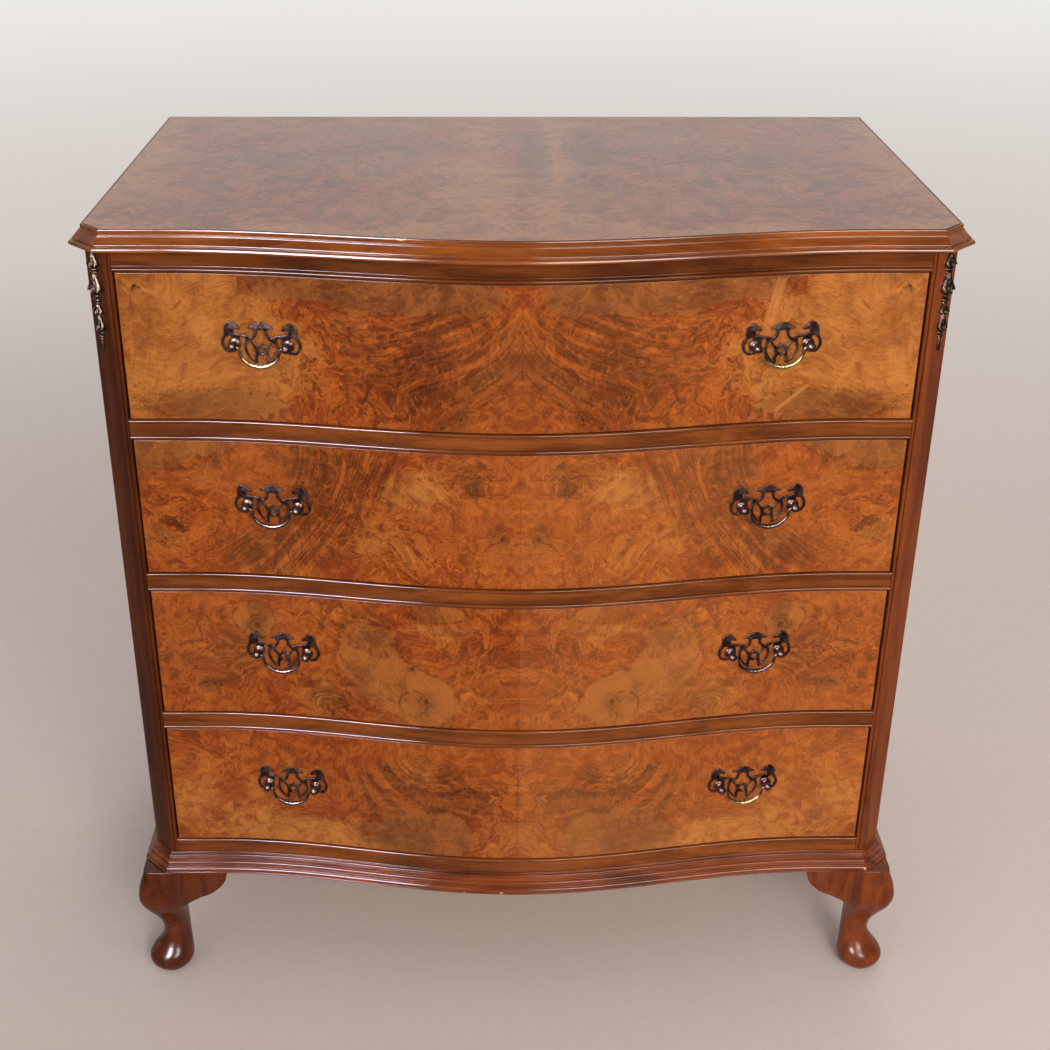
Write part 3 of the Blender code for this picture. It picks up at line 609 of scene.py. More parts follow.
def smooth(obj, sharp=None):
    """Shade smooth, but crisp past an angle."""
    obj.data.shade_smooth()
    if sharp is not None:
        obj.data.set_sharp_from_angle(angle=math.radians(sharp))
    return obj


def outward(obj, sharp):
    """Turn faces outward and shade them."""
    work = bmesh.new()
    work.from_mesh(obj.data)
    bmesh.ops.recalc_face_normals(work, faces=work.faces)
    if work.calc_volume(signed=True) < 0.0:
        bmesh.ops.reverse_faces(work, faces=work.faces)
    work.to_mesh(obj.data)
    work.free()
    return smooth(obj, sharp)


def skin(name, rings, sharp=28.0):
    """Skin a row of closed rings and cap both ends."""
    count = len(rings[0])
    points = [p for ring in rings for p in ring]
    faces = []
    for r in range(len(rings) - 1):
        a, b = r * count, (r + 1) * count
        for i in range(count):
            j = (i + 1) % count
            faces.append((a + i, a + j, b + j, b + i))
    faces.append(tuple(range(count)))
    last = (len(rings) - 1) * count
    faces.append(tuple(range(last + count - 1, last - 1, -1)))
    return outward(add_points(name, points, faces), sharp)


def joined(name, objects, sharp=None):
    """Make one object of several meshes."""
    work = bmesh.new()
    for obj in objects:
        work.from_mesh(obj.data)
    mesh = bpy.data.meshes.new(name)
    work.to_mesh(mesh)
    work.free()
    discard(*objects)
    return smooth(add_data(name, mesh), sharp)


def evaluated(obj):
    """New mesh of what an object's modifiers or curve settings make."""
    graph = bpy.context.evaluated_depsgraph_get()
    return bpy.data.meshes.new_from_object(obj.evaluated_get(graph))


def applied(obj):
    mesh = evaluated(obj)
    obj.modifiers.clear()
    obj.data = mesh
    return obj


def weighed(obj):
    """Let the large faces keep flat shading beside their rounded edges."""
    obj.modifiers.new("normals", "WEIGHTED_NORMAL").keep_sharp = True
    return applied(obj)


def fused(obj, voxel, rounds):
    """Melt overlapping meshes into one carved-looking skin."""
    change = obj.modifiers.new("remesh", "REMESH")
    change.mode = "VOXEL"
    change.voxel_size = voxel
    change.use_smooth_shade = True
    change = obj.modifiers.new("smooth", "SMOOTH")
    change.factor = 0.5
    change.iterations = rounds
    return smooth(applied(obj))


def flipped(name, mesh, sx, sy, centre):
    """Copy of a mesh, mirrored by the signs and moved to its centre."""
    copy = mesh.copy()
    copy.transform(Matrix.Translation(centre)
                   @ Matrix.Diagonal((sx, sy, 1.0, 1.0)))
    if sx * sy < 0.0:
        copy.flip_normals()
    copy.shade_smooth()
    return add_data(name, copy)


def dress(obj, look, body, slot, *nodes):
    obj.data.materials.clear()
    obj.data.materials.append(LOOKS[look])
    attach(obj, body)
    if nodes:
        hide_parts(*nodes)
    return obj


def second_look(obj, look, chosen):
    """Give the chosen faces of a piece another look."""
    obj.data.materials.append(LOOKS[look])
    for face in obj.data.polygons:
        if chosen(face):
            face.material_index = 1


def axes_at(place, x_axis, y_axis, z_axis):
    axes = Matrix((x_axis, y_axis, z_axis)).transposed().to_4x4()
    axes.translation = place
    return axes


def around(count):
    """Cosine and sine at even steps round a circle."""
    angles = [2.0 * math.pi * k / count for k in range(count)]
    return [(math.cos(a), math.sin(a)) for a in angles]


def eased(line, steps=4, closed=False):
    """Round each corner (x, y, radius) of a line."""
    out = []
    count = len(line)
    for i, (x, y, r) in enumerate(line):
        if r <= 0.0 or (not closed and i in (0, count - 1)):
            out.append((x, y))
            continue
        p = Vector((x, y))
        a = Vector(line[i - 1][:2]) - p
        b = Vector(line[(i + 1) % count][:2]) - p
        a = p + a.normalized() * min(r, 0.49 * a.length)
        b = p + b.normalized() * min(r, 0.49 * b.length)
        for k in range(steps + 1):
            t = k / steps
            q = a * (1 - t) * (1 - t) + p * 2 * t * (1 - t) + b * t * t
            out.append((q.x, q.y))
    return out


def curve_through(rows, at):
    """Values of a table (key, a, b, ...) at a key, on a smooth curve."""
    keys = [row[0] for row in rows]
    at = min(max(at, keys[0]), keys[-1])
    i = max(k for k in range(len(keys) - 1) if keys[k] <= at)
    h = keys[i + 1] - keys[i]
    t = (at - keys[i]) / h
    out = []
    for c in range(1, len(rows[0])):
        def slope(k):
            if k == 0 or k == len(rows) - 1:
                j = min(max(k, 1), len(rows) - 1)
                return (rows[j][c] - rows[j - 1][c]) / (keys[j] - keys[j - 1])
            return (rows[k + 1][c] - rows[k - 1][c]) / (keys[k + 1] - keys[k - 1])
        a, b = rows[i][c], rows[i + 1][c]
        m, n = slope(i) * h, slope(i + 1) * h
        out.append((2 * t ** 3 - 3 * t ** 2 + 1) * a
                   + (t ** 3 - 2 * t ** 2 + t) * m
                   + (3 * t ** 2 - 2 * t ** 3) * b + (t ** 3 - t ** 2) * n)
    return out


FRONT_STEPS = 96
KNOTS = [SWELL_HALF * (2.0 * i / FRONT_STEPS - 1.0)
         for i in range(FRONT_STEPS + 1)]


def outline_path(offset):
    """The case's plan line from the left back corner round to the right,
    moved outward with mitred corners."""
    left = [(-CASE_HALF, FRONT_Y + CASE_DEPTH), (-CASE_HALF, FRONT_Y + CANT),
            (-(CASE_HALF - CANT), FRONT_Y)]
    line = left + [(x, front_y(x)) for x in KNOTS]
    line += [(-x, y) for x, y in reversed(left)]
    normals = []
    for (x0, y0), (x1, y1) in zip(line, line[1:]):
        run = Vector((x1 - x0, y1 - y0)).normalized()
        normals.append(Vector((run.y, -run.x)))
    moved = []
    for i, (x, y) in enumerate(line):
        before = normals[max(i - 1, 0)]
        after = normals[min(i, len(normals) - 1)]
        push = (before + after) / (1.0 + before.dot(after))
        moved.append((x + push.x * offset, y + push.y * offset))
    return moved


def path_sweep(name, profile, back):
    """Carry an (out, z) profile round the front and both sides."""
    lines = [outline_path(out) for out, z in profile]
    rings = []
    for i in range(len(lines[0])):
        ring = []
        for line, (out, z) in zip(lines, profile):
            x, y = line[i]
            if i in (0, len(line) - 1):
                y = FRONT_Y + back
            ring.append((x, y, z))
        rings.append(ring)
    return weighed(skin(name, rings))


# ---------------------------------------------------------- top and base
# Faces of the mouldings: share of the overhang, share of the height, and
# how many millimetres each corner is rounded.
TOP_FACE = [(0.125, 0.00, 2.8), (0.13, 0.235, 0.2),
            (0.245, 0.245, 0.45), (0.258, 0.315, 0.5), (0.690, 0.655, 0.4),
            (0.705, 0.705, 0.3), (0.690, 0.745, 0.2), (0.700, 0.758, 0.2),
            (0.82, 0.760, 9.0), (0.895, 0.772, 9.0), (0.940, 0.805, 9.0),
            (0.972, 0.855, 9.0), (0.995, 0.915, 9.0), (0.990, 0.955, 9.0),
            (0.950, 0.985, 9.0), (0.84, 1.00, 0.3)]
BASE_FACE = [(0.94, 0.00, 0.2), (0.997, 0.02, 0.4), (0.990, 0.085, 0.9),
             (0.90, 0.095, 0.2), (0.885, 0.15, 9.0), (0.87, 0.20, 9.0),
             (0.80, 0.260, 1.3), (0.70, 0.275, 0.3), (0.69, 0.30, 0.2),
             (0.64, 0.315, 1.0), (0.53, 0.325, 0.2), (0.515, 0.345, 0.2),
             (0.54, 0.365, 0.4), (0.545, 0.520, 1.8),
             (0.320, 0.555, 0.3), (0.290, 0.725, 0.2), (0.265, 0.730, 0.2),
             (0.260, 0.755, 0.2), (0.305, 0.775, 0.7), (0.300, 0.860, 1.5),
             (0.220, 0.890, 0.3), (0.100, 0.895, 0.2), (0.085, 0.915, 0.2),
             (0.115, 0.930, 0.3), (0.105, 0.990, 0.6)]


def moulding_face(rows, overhang, height_at):
    return [(share * overhang, height_at(level), r * MM)
            for share, level, r in rows]


def side_grain(obj, look):
    """The side lengths of a moulding are cut with their grain along y."""
    second_look(obj, look, lambda face: abs(face.center.x) > CASE_HALF - 0.001)


def build_top():
    line = outline_path(-TOP_REVEAL)
    back = FRONT_Y + CASE_DEPTH + TOP_BACK
    line[0], line[-1] = (line[0][0], back), (line[-1][0], back)
    rings = [[(x, y, z) for x, y in line] for z in (CASE_TOP + SEAT, HEIGHT)]
    board = skin("top_board", rings)
    dress(board, "top", "case", "burr_walnut_veneer", "top_panel")
    # The edge of the board in its joint with the moulding gets a near-black
    # finish: a dark joint line, and painted shade in the groove between them.
    second_look(board, "joint", lambda face: abs(face.normal.z) < 0.5
                and face.center.y < back - 0.001)
    tall = HEIGHT - CASE_TOP - SEAT
    inner = -TOP_REVEAL + 0.00012
    face = [(inner, HEIGHT - 0.0009, 0.0), (inner + 0.0013, HEIGHT - 0.0009, 0.2),
            (inner + 0.0016, HEIGHT, 0.2)]
    face += moulding_face(TOP_FACE, TOP_OVERHANG, lambda v: HEIGHT - v * tall)
    face += [(inner, HEIGHT - tall, 0.0)]
    obj = path_sweep("top_edge_moulding", eased(face), CASE_DEPTH + TOP_BACK)
    dress(obj, "moulding", "case", "solid_walnut", "top_moulding")
    side_grain(obj, "moulding_side")


def build_base():
    face = [(SEAT, BASE_Z, 0.0)]
    face += moulding_face(BASE_FACE, BASE_OVERHANG,
                          lambda v: BASE_Z + v * BASE_HEIGHT)
    face += [(SEAT, BASE_Z + BASE_HEIGHT, 0.0)]
    obj = path_sweep("foot_moulding", eased(face), CASE_DEPTH)
    dress(obj, "base", "case", "solid_walnut", "base_moulding")
    side_grain(obj, "base_side")


# ------------------------------------------------------------------ case
def bead_face(edge, way, twin=False):
    """Half-round bead with a quirk beside it, from its drawer edge in,
    and for a twin a finer bead beside the first."""
    line = []
    for k in range(11):
        a = math.pi * k / 10
        line.append((BEAD_PROUD * math.sin(a),
                     edge + way * 0.5 * BEAD * (1.0 - math.cos(a))))
    line += [(-0.0006, edge + way * (BEAD + 0.0002)),
             (-0.0006, edge + way * (BEAD + 0.0005)),
             (-0.0001, edge + way * (BEAD + 0.0008))]
    if twin:
        start = edge + way * (BEAD + 0.0008)
        line += [(0.0010 * math.sin(math.pi * k / 8),
                  start + way * 0.0010 * (1.0 - math.cos(math.pi * k / 8)))
                 for k in range(1, 9)]
        line.append((-0.0003, start + way * 0.0022))
        edge += way * 0.0022
    line.append((0.0, edge + way * (BEAD + 0.0011)))
    return line


def rail(name, node, z0, z1, low, high, look="rail"):
    face = bead_face(z0, 1.0, look == "frieze") if low else [(0.0, z0)]
    face += list(reversed(bead_face(z1, -1.0))) if high else [(0.0, z1)]
    half = INNER_HALF - SEAT
    rings = []
    for x in [-half] + KNOTS + [half]:
        y = front_y(x)
        ring = [(x, y - out, z) for out, z in face]
        ring += [(x, FRONT_Y + POST_DEPTH, z1), (x, FRONT_Y + POST_DEPTH, z0)]
        rings.append(ring)
    dress(skin(name, rings), look, "case", "solid_walnut", node)


def build_case():
    rail("lower_cross_rail", "bottom_rail", BASE_Z, opening_floor(DRAWERS),
         False, True)
    # The frieze rail takes the darker frieze finish, which is painted shade under
    # the top moulding, and a twin bead.
    rail("frieze_cross_rail", "frieze_rail", opening_floor(1) + OPENING,
         CASE_TOP, True, False, "frieze")
    for number in range(1, DRAWERS):
        floor = opening_floor(number)
        rail("cross_rail_%d" % number, "drawer_rail_%d" % number,
             floor - RAIL, floor, True, True)
    for side, s in SIDES:
        line = [(INNER_HALF, POST_DEPTH, 0.0)]
        for k in range(9):
            a = math.pi * (1.0 - k / 8.0)
            line.append((INNER_HALF + 0.5 * POST_BEAD * (1.0 + math.cos(a)),
                         POST_QUIRK - POST_QUIRK * math.sin(a) ** 0.8, 0.0))
        line += [(INNER_HALF + POST_BEAD + 0.0005, POST_QUIRK, 0.0),
                 (INNER_HALF + POST_BEAD + 0.0008, 0.0, 0.0002),
                 (CASE_HALF - CANT, 0.0, 0.0007), (CASE_HALF, CANT, 0.0007),
                 (CASE_HALF, POST_DEPTH, 0.0)]
        rings = [[(s * x, FRONT_Y + y, z) for x, y in eased(line)]
                 for z in (BASE_Z, CASE_TOP)]
        # Each post's finish has its light painted in: painted shade on the left
        # post, painted light on the right one.
        dress(skin("canted_post_" + side, rings), "post_" + side, "case",
              "solid_walnut", "corner_post_" + side)


def build_pins():
    """Small brass pins round the back board."""
    inset = 0.008
    pins = [((i - 4) * 0.105, z) for i in range(9)
            for z in (BASE_Z + inset, CASE_TOP - inset)]
    pins += [(x, BASE_Z + inset + i * 0.098) for i in range(1, 8)
             for x in (-0.429, 0.429)]
    y = FRONT_Y + CASE_DEPTH - 0.003
    head = ((0.0022, -0.0002), (0.0022, 0.0003), (0.0015, 0.0007),
            (0.0005, 0.0008))
    heads = [skin("pin_%d" % i, [[(x + r * c, y + lift, z + r * s)
                                  for c, s in around(12)] for r, lift in head])
             for i, (x, z) in enumerate(pins)]
    dress(joined("back_board_pins", heads, 40.0), "brass", "case", "aged_brass")


# ------------------------------------------------------------------ legs
# Share of the height, reach outward and inward, and how square the section.
LEG_SECTIONS = [
    (0.000, 0.0236, 0.0145, 2.0), (0.022, 0.0262, 0.0175, 2.0),
    (0.037, 0.0292, 0.0205, 2.0), (0.093, 0.0330, 0.0237, 2.0),
    (0.154, 0.0290, 0.0232, 2.0), (0.210, 0.0211, 0.0222, 2.0),
    (0.272, 0.0150, 0.0212, 2.1), (0.346, 0.0129, 0.0208, 2.2),
    (0.444, 0.0157, 0.0208, 2.3), (0.531, 0.0218, 0.0212, 2.4),
    (0.599, 0.0276, 0.0218, 2.6), (0.667, 0.0325, 0.0220, 3.0),
    (0.747, 0.0350, 0.0220, 3.6), (0.852, 0.0326, 0.0220, 4.0),
    (0.926, 0.0284, 0.0220, 4.5), (1.000, 0.0256, 0.0220, 5.0)]
# Share of a knee bracket's length, and its lower edge as share of the height.
EAR_LINE = [(0.000, 0.590), (0.226, 0.632), (0.327, 0.664), (0.549, 0.722),
            (0.744, 0.770), (0.900, 0.842), (0.968, 0.905), (1.000, 0.985)]


def leg_shape():
    """Leg and knee brackets about their own plan centre, leaning to +x, -y."""
    tall = LEG_HEIGHT - SEAT
    rings = []
    for i in range(61):
        share = i / 60.0
        reach, inner, power = curve_through(LEG_SECTIONS, share)
        radius, shift = 0.5 * (reach + inner), 0.5 * (reach - inner)
        ring = []
        for c, s in around(48):
            grow = (abs(c) ** power + abs(s) ** power) ** (-1.0 / power)
            ring.append((shift + radius * grow * c, -shift - radius * grow * s,
                         share * tall))
        rings.append(ring)
    parts = [skin("leg", rings)]
    face = 0.5 * CANT + EAR_PROUD
    for along_x in (True, False):
        rings = []
        for i in range(25):
            share = i / 24.0
            run = share * EAR_LENGTH
            low = curve_through(EAR_LINE, share)[0] * tall
            near = max(0.0, 1.0 - max(run - 0.018, 0.0) / 0.034)
            swell_out = 0.0085 * near * near
            ring = []
            for k in range(13):
                z = low + (tall - low) * k / 12.0
                up = z / tall
                out = face + swell_out * math.sin(math.pi * min(max(
                    (up - 0.50) / 0.52, 0.0), 1.0)) ** 1.2
                out -= 0.004 * (1.0 - k / 12.0) ** 3 * near
                ring.append((out, z))
            ring += [(face - EAR_THICK, tall), (face - EAR_THICK, low)]
            if along_x:
                rings.append([(-run, -out, z) for out, z in ring])
            else:
                rings.append([(out - 0.0004, run, z) for out, z in ring])
        parts.append(skin("ear", rings))
    leg = joined("leg_shape", parts)
    fused(leg, 0.0011, 5)
    mesh = leg.data
    for vert in mesh.vertices:
        if vert.co.z < 0.0006:
            vert.co.z = 0.0
        vert.co.z = min(vert.co.z, tall)
    discard(leg)
    return mesh


def build_legs():
    mesh = leg_shape()
    rear = FRONT_Y + CASE_DEPTH - REAR_LEG_IN
    for side, s in SIDES:
        for end, sy, y in (("front", 1.0, CORNER_Y), ("rear", -1.0, rear)):
            obj = flipped("cabriole_%s_%s" % (end, side), mesh, s, sy,
                          (s * CORNER_X, y, 0.0))
            # Each leg's finish has its light painted in: painted shade on the
            # left legs, painted light on the right ones.
            dress(obj, "leg_" + side, "case", "solid_walnut",
                  "%s_leg_%s" % (end, side))


# --------------------------------------------------------------- handles
# Right half of the back plate's outline and its piercings, in millimetres
# from the middle of the line of the posts.
PLATE_EDGE = [
    (0, 25.8), (2.0, 24.4), (3.4, 25.0), (5.4, 23.2), (7.0, 23.4), (9.0, 21.0),
    (10.8, 20.8), (14.4, 18.0), (12.2, 17.2), (9.8, 17.7), (7.8, 16.6),
    (6.9, 14.4), (7.2, 11.6), (9.0, 8.8), (11.2, 7.8), (14.4, 9.4), (18, 10.4),
    (22, 10.9), (25.5, 12.0), (28.0, 12.2), (29.8, 13.8), (29.6, 15.8),
    (27.6, 17.0), (25.6, 16.6), (24.0, 15.6), (22.0, 16.6), (22.8, 18.6),
    (25.4, 20.2), (27.4, 22.6), (29.6, 24.4), (31.4, 26.0), (33.2, 24.2),
    (35.6, 23.8), (37.0, 21.4), (38.8, 20.2), (38.8, 17.4), (40.0, 15.0),
    (38.8, 12.8), (40.0, 9.6), (42.2, 5.8), (43.2, 1.6), (43.0, -2.6),
    (41.0, -6.6), (38.0, -9.2), (34.6, -10.2), (31.0, -9.6), (27.6, -8.2),
    (24.8, -5.6), (23.2, -2.4), (22.8, 1.0), (22.8, 5.0), (22.7, 8.2),
    (19.4, 7.9), (16.2, 6.2), (17.4, 3.0), (18.5, -1.0), (18.4, -5.0),
    (17.2, -9.4), (14.8, -13.6), (11.6, -17.6), (8.2, -20.6), (5.8, -21.2),
    (4.9, -19.4), (5.5, -16.6), (4.8, -13.6), (3.6, -11.4),
    (2.0, -12.2), (0, -12.6)]
PLATE_LOOP = [(31.4, 8.8), (35.0, 9.2), (38.2, 7.0), (40.1, 3.6), (40.6, -0.8),
              (39.2, -4.6), (36.6, -7.2), (33.4, -7.6), (31.6, -5.0), (31.0, 0.0)]
PLATE_LOBE = [(13.2, 3.8), (15.2, 0.8), (16.1, -3.2), (15.5, -7.6), (13.6, -11.8),
              (10.8, -15.6), (8.4, -17.8), (8.1, -14.6), (7.0, -11.4),
              (6.9, -8.4), (7.2, -5.4), (8.4, -2.6), (10.4, 0.4)]
PLATE_VASE = [(4.1, 16.4), (4.2, 12.4), (5.2, 9.2), (7.4, 6.4), (10.2, 4.6),
              (10.0, 3.2), (7.8, 0.2), (5.8, -2.0), (3.8, -1.4), (1.4, -0.2),
              (0, 2.0)]
# Half of the bail's centre line with its thickness over the pin's.
BAIL_LINE = [(28.27, 0.0, 0.0), (23.3, 0.0, 2.2), (21.3, -2.0, 2.2),
             (21.2, -6.0, 3.0), (19.4, -11.4, 4.0), (15.4, -15.9, 4.0),
             (9.6, -19.1, 4.0), (3.6, -20.7, 3.0), (0.0, -21.0, 0.0)]
BAIL_THICK = [(0.0, 1.45), (3.6, 1.55), (9.6, 1.30), (15.4, 1.10),
              (19.3, 0.95), (21.0, 0.90), (23.4, 1.0), (28.3, 1.0)]


def facet_front_y(x):
    """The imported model's front line, which carries the hinge axes."""
    step = 2.0 * SWELL_HALF / SWELL_FACETS
    i = min(int((x + SWELL_HALF) / step), SWELL_FACETS - 1)
    a = -SWELL_HALF + i * step
    t = (x - a) / step
    return FRONT_Y - (1.0 - t) * swell(a) - t * swell(a + step)


def handle_frame(number, s):
    """Handle axes: u along the front, v up, w out of the front."""
    x = s * HANDLE_X
    slope = (swell(x + 1e-4) - swell(x - 1e-4)) / 2e-4
    along = Vector((1.0, -slope, 0.0)).normalized()
    place = (x, facet_front_y(x),
             opening_floor(number) + FRONT_MIDDLE + HANDLE_RISE)
    return axes_at(place, along, UP, along.cross(UP))


def surface_out(axes, u, line=front_y):
    """How far a front line stands out of the handle's plane at u."""
    origin, along, out = axes.translation, axes.col[0], axes.col[2]
    x, y = origin.x + u * along.x, origin.y + u * along.y
    for _ in range(4):
        x = origin.x + u * along.x + (line(x) - y) / out.y * out.x
    return (line(x) - y) / out.y


def mirrored_loop(half):
    return half + [(-u, v) for u, v in reversed(half) if u > 1e-6]


def softened(loop):
    """Cut the corners of a closed loop, twice over."""
    for _ in range(2):
        made = []
        for i, (x, y) in enumerate(loop):
            a, b = loop[(i + 1) % len(loop)]
            made.append((0.75 * x + 0.25 * a, 0.75 * y + 0.25 * b))
            made.append((0.25 * x + 0.75 * a, 0.25 * y + 0.75 * b))
        loop = made
    return loop


def lathed(name, profile, count):
    return skin(name, [[(radius * c, radius * s, w) for c, s in around(count)]
                       for radius, w in profile], 40.0)


def cast_plate():
    """The pierced plate, flat, with softly rounded edges."""
    loops = [softened(mirrored_loop(PLATE_EDGE))]
    for hole in (PLATE_LOOP, PLATE_LOBE):
        hole = softened(hole)
        loops += [hole, [(-u, v) for u, v in hole]]
    loops.append(softened(mirrored_loop(PLATE_VASE)))
    loops.append([(3.3 * c, -6.4 + 3.3 * s) for c, s in around(24)])
    curve = bpy.data.curves.new("plate_line", "CURVE")
    curve.dimensions = "2D"
    curve.fill_mode = "BOTH"
    for loop in loops:
        spline = curve.splines.new("POLY")
        spline.points.add(len(loop) - 1)
        for point, (u, v) in zip(spline.points, loop):
            point.co = (u * MM, v * MM, 0.0, 1.0)
        spline.use_cyclic_u = True
    ease = 0.00045
    curve.bevel_depth = ease
    curve.bevel_resolution = 2
    curve.offset = -ease
    curve.extrude = 0.5 * PLATE_THICK - ease
    obj = add_data("plate_line", curve)
    mesh = evaluated(obj)
    discard(obj)
    lift = PLATE_GAP + 0.5 * PLATE_THICK
    mesh.transform(Matrix.Translation((0.0, 0.0, lift)))
    work = bmesh.new()
    work.from_mesh(mesh)
    bmesh.ops.remove_doubles(work, verts=work.verts, dist=1e-6)
    work.to_mesh(mesh)
    work.free()
    return add_data("plate_flat", mesh)


def cast_posts():
    """The two turned posts with ball heads, shanks and nuts."""
    face = PLATE_GAP + PLATE_THICK
    profile = [(0.0062, -0.0241), (0.0062, -0.0209), (0.0027, -0.0206),
               (0.0027, 0.0010), (0.0064, 0.0012), (0.0066, face + 0.0002),
               (0.0062, face + 0.0007), (0.0046, face + 0.0012),
               (0.0040, face + 0.0016), (0.0044, face + 0.0020),
               (0.0036, face + 0.0026), (0.0030, face + 0.0034)]
    for k in range(13):
        a = math.radians(-58.0 + 128.0 * k / 12)
        profile.append((0.0050 * math.cos(a), AXIS_OUT + 0.0048 * math.sin(a)))
    profile += [(0.0016, AXIS_OUT + 0.00462), (0.0014, AXIS_OUT + 0.0048),
                (0.0003, AXIS_OUT + 0.0050)]
    posts = []
    for s in (-1.0, 1.0):
        post = lathed("post", profile, 28)
        post.data.transform(Matrix.Translation((s * BORE, 0.0, 0.0)))
        drill = lathed("drill", [(0.0023, -0.0028), (0.0023, 0.010)], 18)
        drill.data.transform(Matrix.Translation((s * BORE, 0.0, AXIS_OUT))
                             @ Matrix.Rotation(math.radians(-90.0 * s), 4, "Y"))
        change = post.modifiers.new("bore", "BOOLEAN")
        change.operation = "DIFFERENCE"
        change.solver = "EXACT"
        change.object = drill
        applied(post)
        discard(drill)
        posts.append(post)
    return posts


def cast_bail():
    line = eased(BAIL_LINE, 4)
    line = line + [(-u, v) for u, v in reversed(line[:-1])]
    # Even spacing, so that the tube is smooth.
    gaps = [0.0]
    for a, b in zip(line, line[1:]):
        gaps.append(gaps[-1] + math.dist(a, b))
    even = [gaps[-1] * i / 90 for i in range(91)]
    us = np.interp(even, gaps, [p[0] for p in line])
    vs = np.interp(even, gaps, [p[1] for p in line])
    rings = []
    for i in range(len(us)):
        a, b = max(i - 1, 0), min(i + 1, len(us) - 1)
        run = Vector((us[b] - us[a], vs[b] - vs[a])).normalized()
        side = Vector((-run.y, run.x))
        share = np.interp(abs(us[i]), [r[0] for r in BAIL_THICK],
                          [r[1] for r in BAIL_THICK])
        share += 0.32 * math.exp(-(us[i] / 1.1) ** 2)
        r = PIN_RADIUS * share
        rings.append([(us[i] * MM + side.x * r * c, vs[i] * MM + side.y * r * c,
                       r * s) for c, s in around(16)])
    return skin("bail_shape", rings, 50.0)


def build_handles():
    flat = cast_plate()
    plate = joined("plate_shape", [flat] + cast_posts(), 35.0)
    bail = cast_bail()
    for number in NUMBERS:
        for side, s in SIDES:
            axes = handle_frame(number, s)
            mesh = plate.data.copy()
            for vert in mesh.vertices:
                vert.co.z += surface_out(axes, vert.co.x)
            obj = add_data("back_plate_%d_%s" % (number, side), mesh)
            obj.matrix_world = axes
            dress(obj, "brass", "drawer_%d" % number, "aged_brass",
                  "handle_plate_%d_%s" % (number, side))
            sag = 0.5 * (surface_out(axes, BORE, facet_front_y)
                         + surface_out(axes, -BORE, facet_front_y))
            obj = add_data("swing_bail_%d_%s" % (number, side), bail.data.copy())
            hinge = Matrix.Translation((0.0, 0.0, AXIS_OUT + sag))
            obj.matrix_world = axes @ hinge
            rubbed = number == 1 or (number == 4 and side == "right")
            dress(obj, "bail" if rubbed else "dull_bail",
                  "bail_%d_%s" % (number, side), "aged_brass",
                  "handle_bail_%d_%s" % (number, side))
    discard(plate, bail)


# ---------------------------------------------------------- corner drops
def bud(a, v, ra, rv, rise, deep):
    """Ellipsoid of the drop: centre, half sizes, height of its middle."""
    rings = []
    for i in range(1, 12):
        p = math.pi * i / 12
        rings.append([(a + ra * math.sin(p) * c, -(v - rv * math.cos(p)),
                       rise + deep * math.sin(p) * s) for c, s in around(20)])
    return skin("bud", rings)


def petal(a0, v0, a1, v1, half, low, high, lip):
    """Leaf of a husk, hanging from (a0, v0) and flaring to (a1, v1)."""
    run = Vector((a1 - a0, v1 - v0))
    side = Vector((run.y, -run.x)).normalized()
    rings = []
    for i in range(17):
        u = i / 16.0
        wide = half * (0.42 + 0.58 * math.sin(min(u / 0.72, 1.0) * math.pi / 2))
        if u > 0.72:
            wide *= math.sqrt(max(1.0 - ((u - 0.72) / 0.285) ** 2, 0.004))
        rise = low + (high - low) * math.sin(min(u, 0.9) / 0.9 * math.pi / 2)
        rise += lip * max(u - 0.66, 0.0) / 0.34
        ring = []
        for k in range(13):
            t = k / 6.0 - 1.0
            arch = (1.0 - abs(t) ** 2.2) * 0.55 + 0.45
            vein = 0.26 * math.exp(-(t / 0.16) ** 2) * (1.0 if u < 0.9 else 0.3)
            w = rise * (arch - vein)
            ring.append((a0 + run.x * u + side.x * wide * t,
                         -(v0 + run.y * u + side.y * wide * t), w))
        ring += [(a0 + run.x * u + side.x * wide * t,
                  -(v0 + run.y * u + side.y * wide * t), 0.0)
                 for t in (0.9, 0.0, -0.9)]
        rings.append(ring)
    return skin("petal", rings)


def husk(v0, v1, flare, half, rise, lip):
    """Three petals round a bell, tips down."""
    tall = v1 - v0
    parts = [petal(0.0, v0, side * flare, v0 + 0.90 * tall, half * 0.74,
                   rise * 0.45, rise * 0.70, lip) for side in (-1.0, 1.0)]
    parts.append(petal(0.0, v0, 0.0, v1, half, rise * 0.62, rise, lip))
    parts.append(bud(0.0, v0 + 0.32 * tall, flare * 0.50, 0.36 * tall,
                     0.0, rise * 0.84))
    return parts


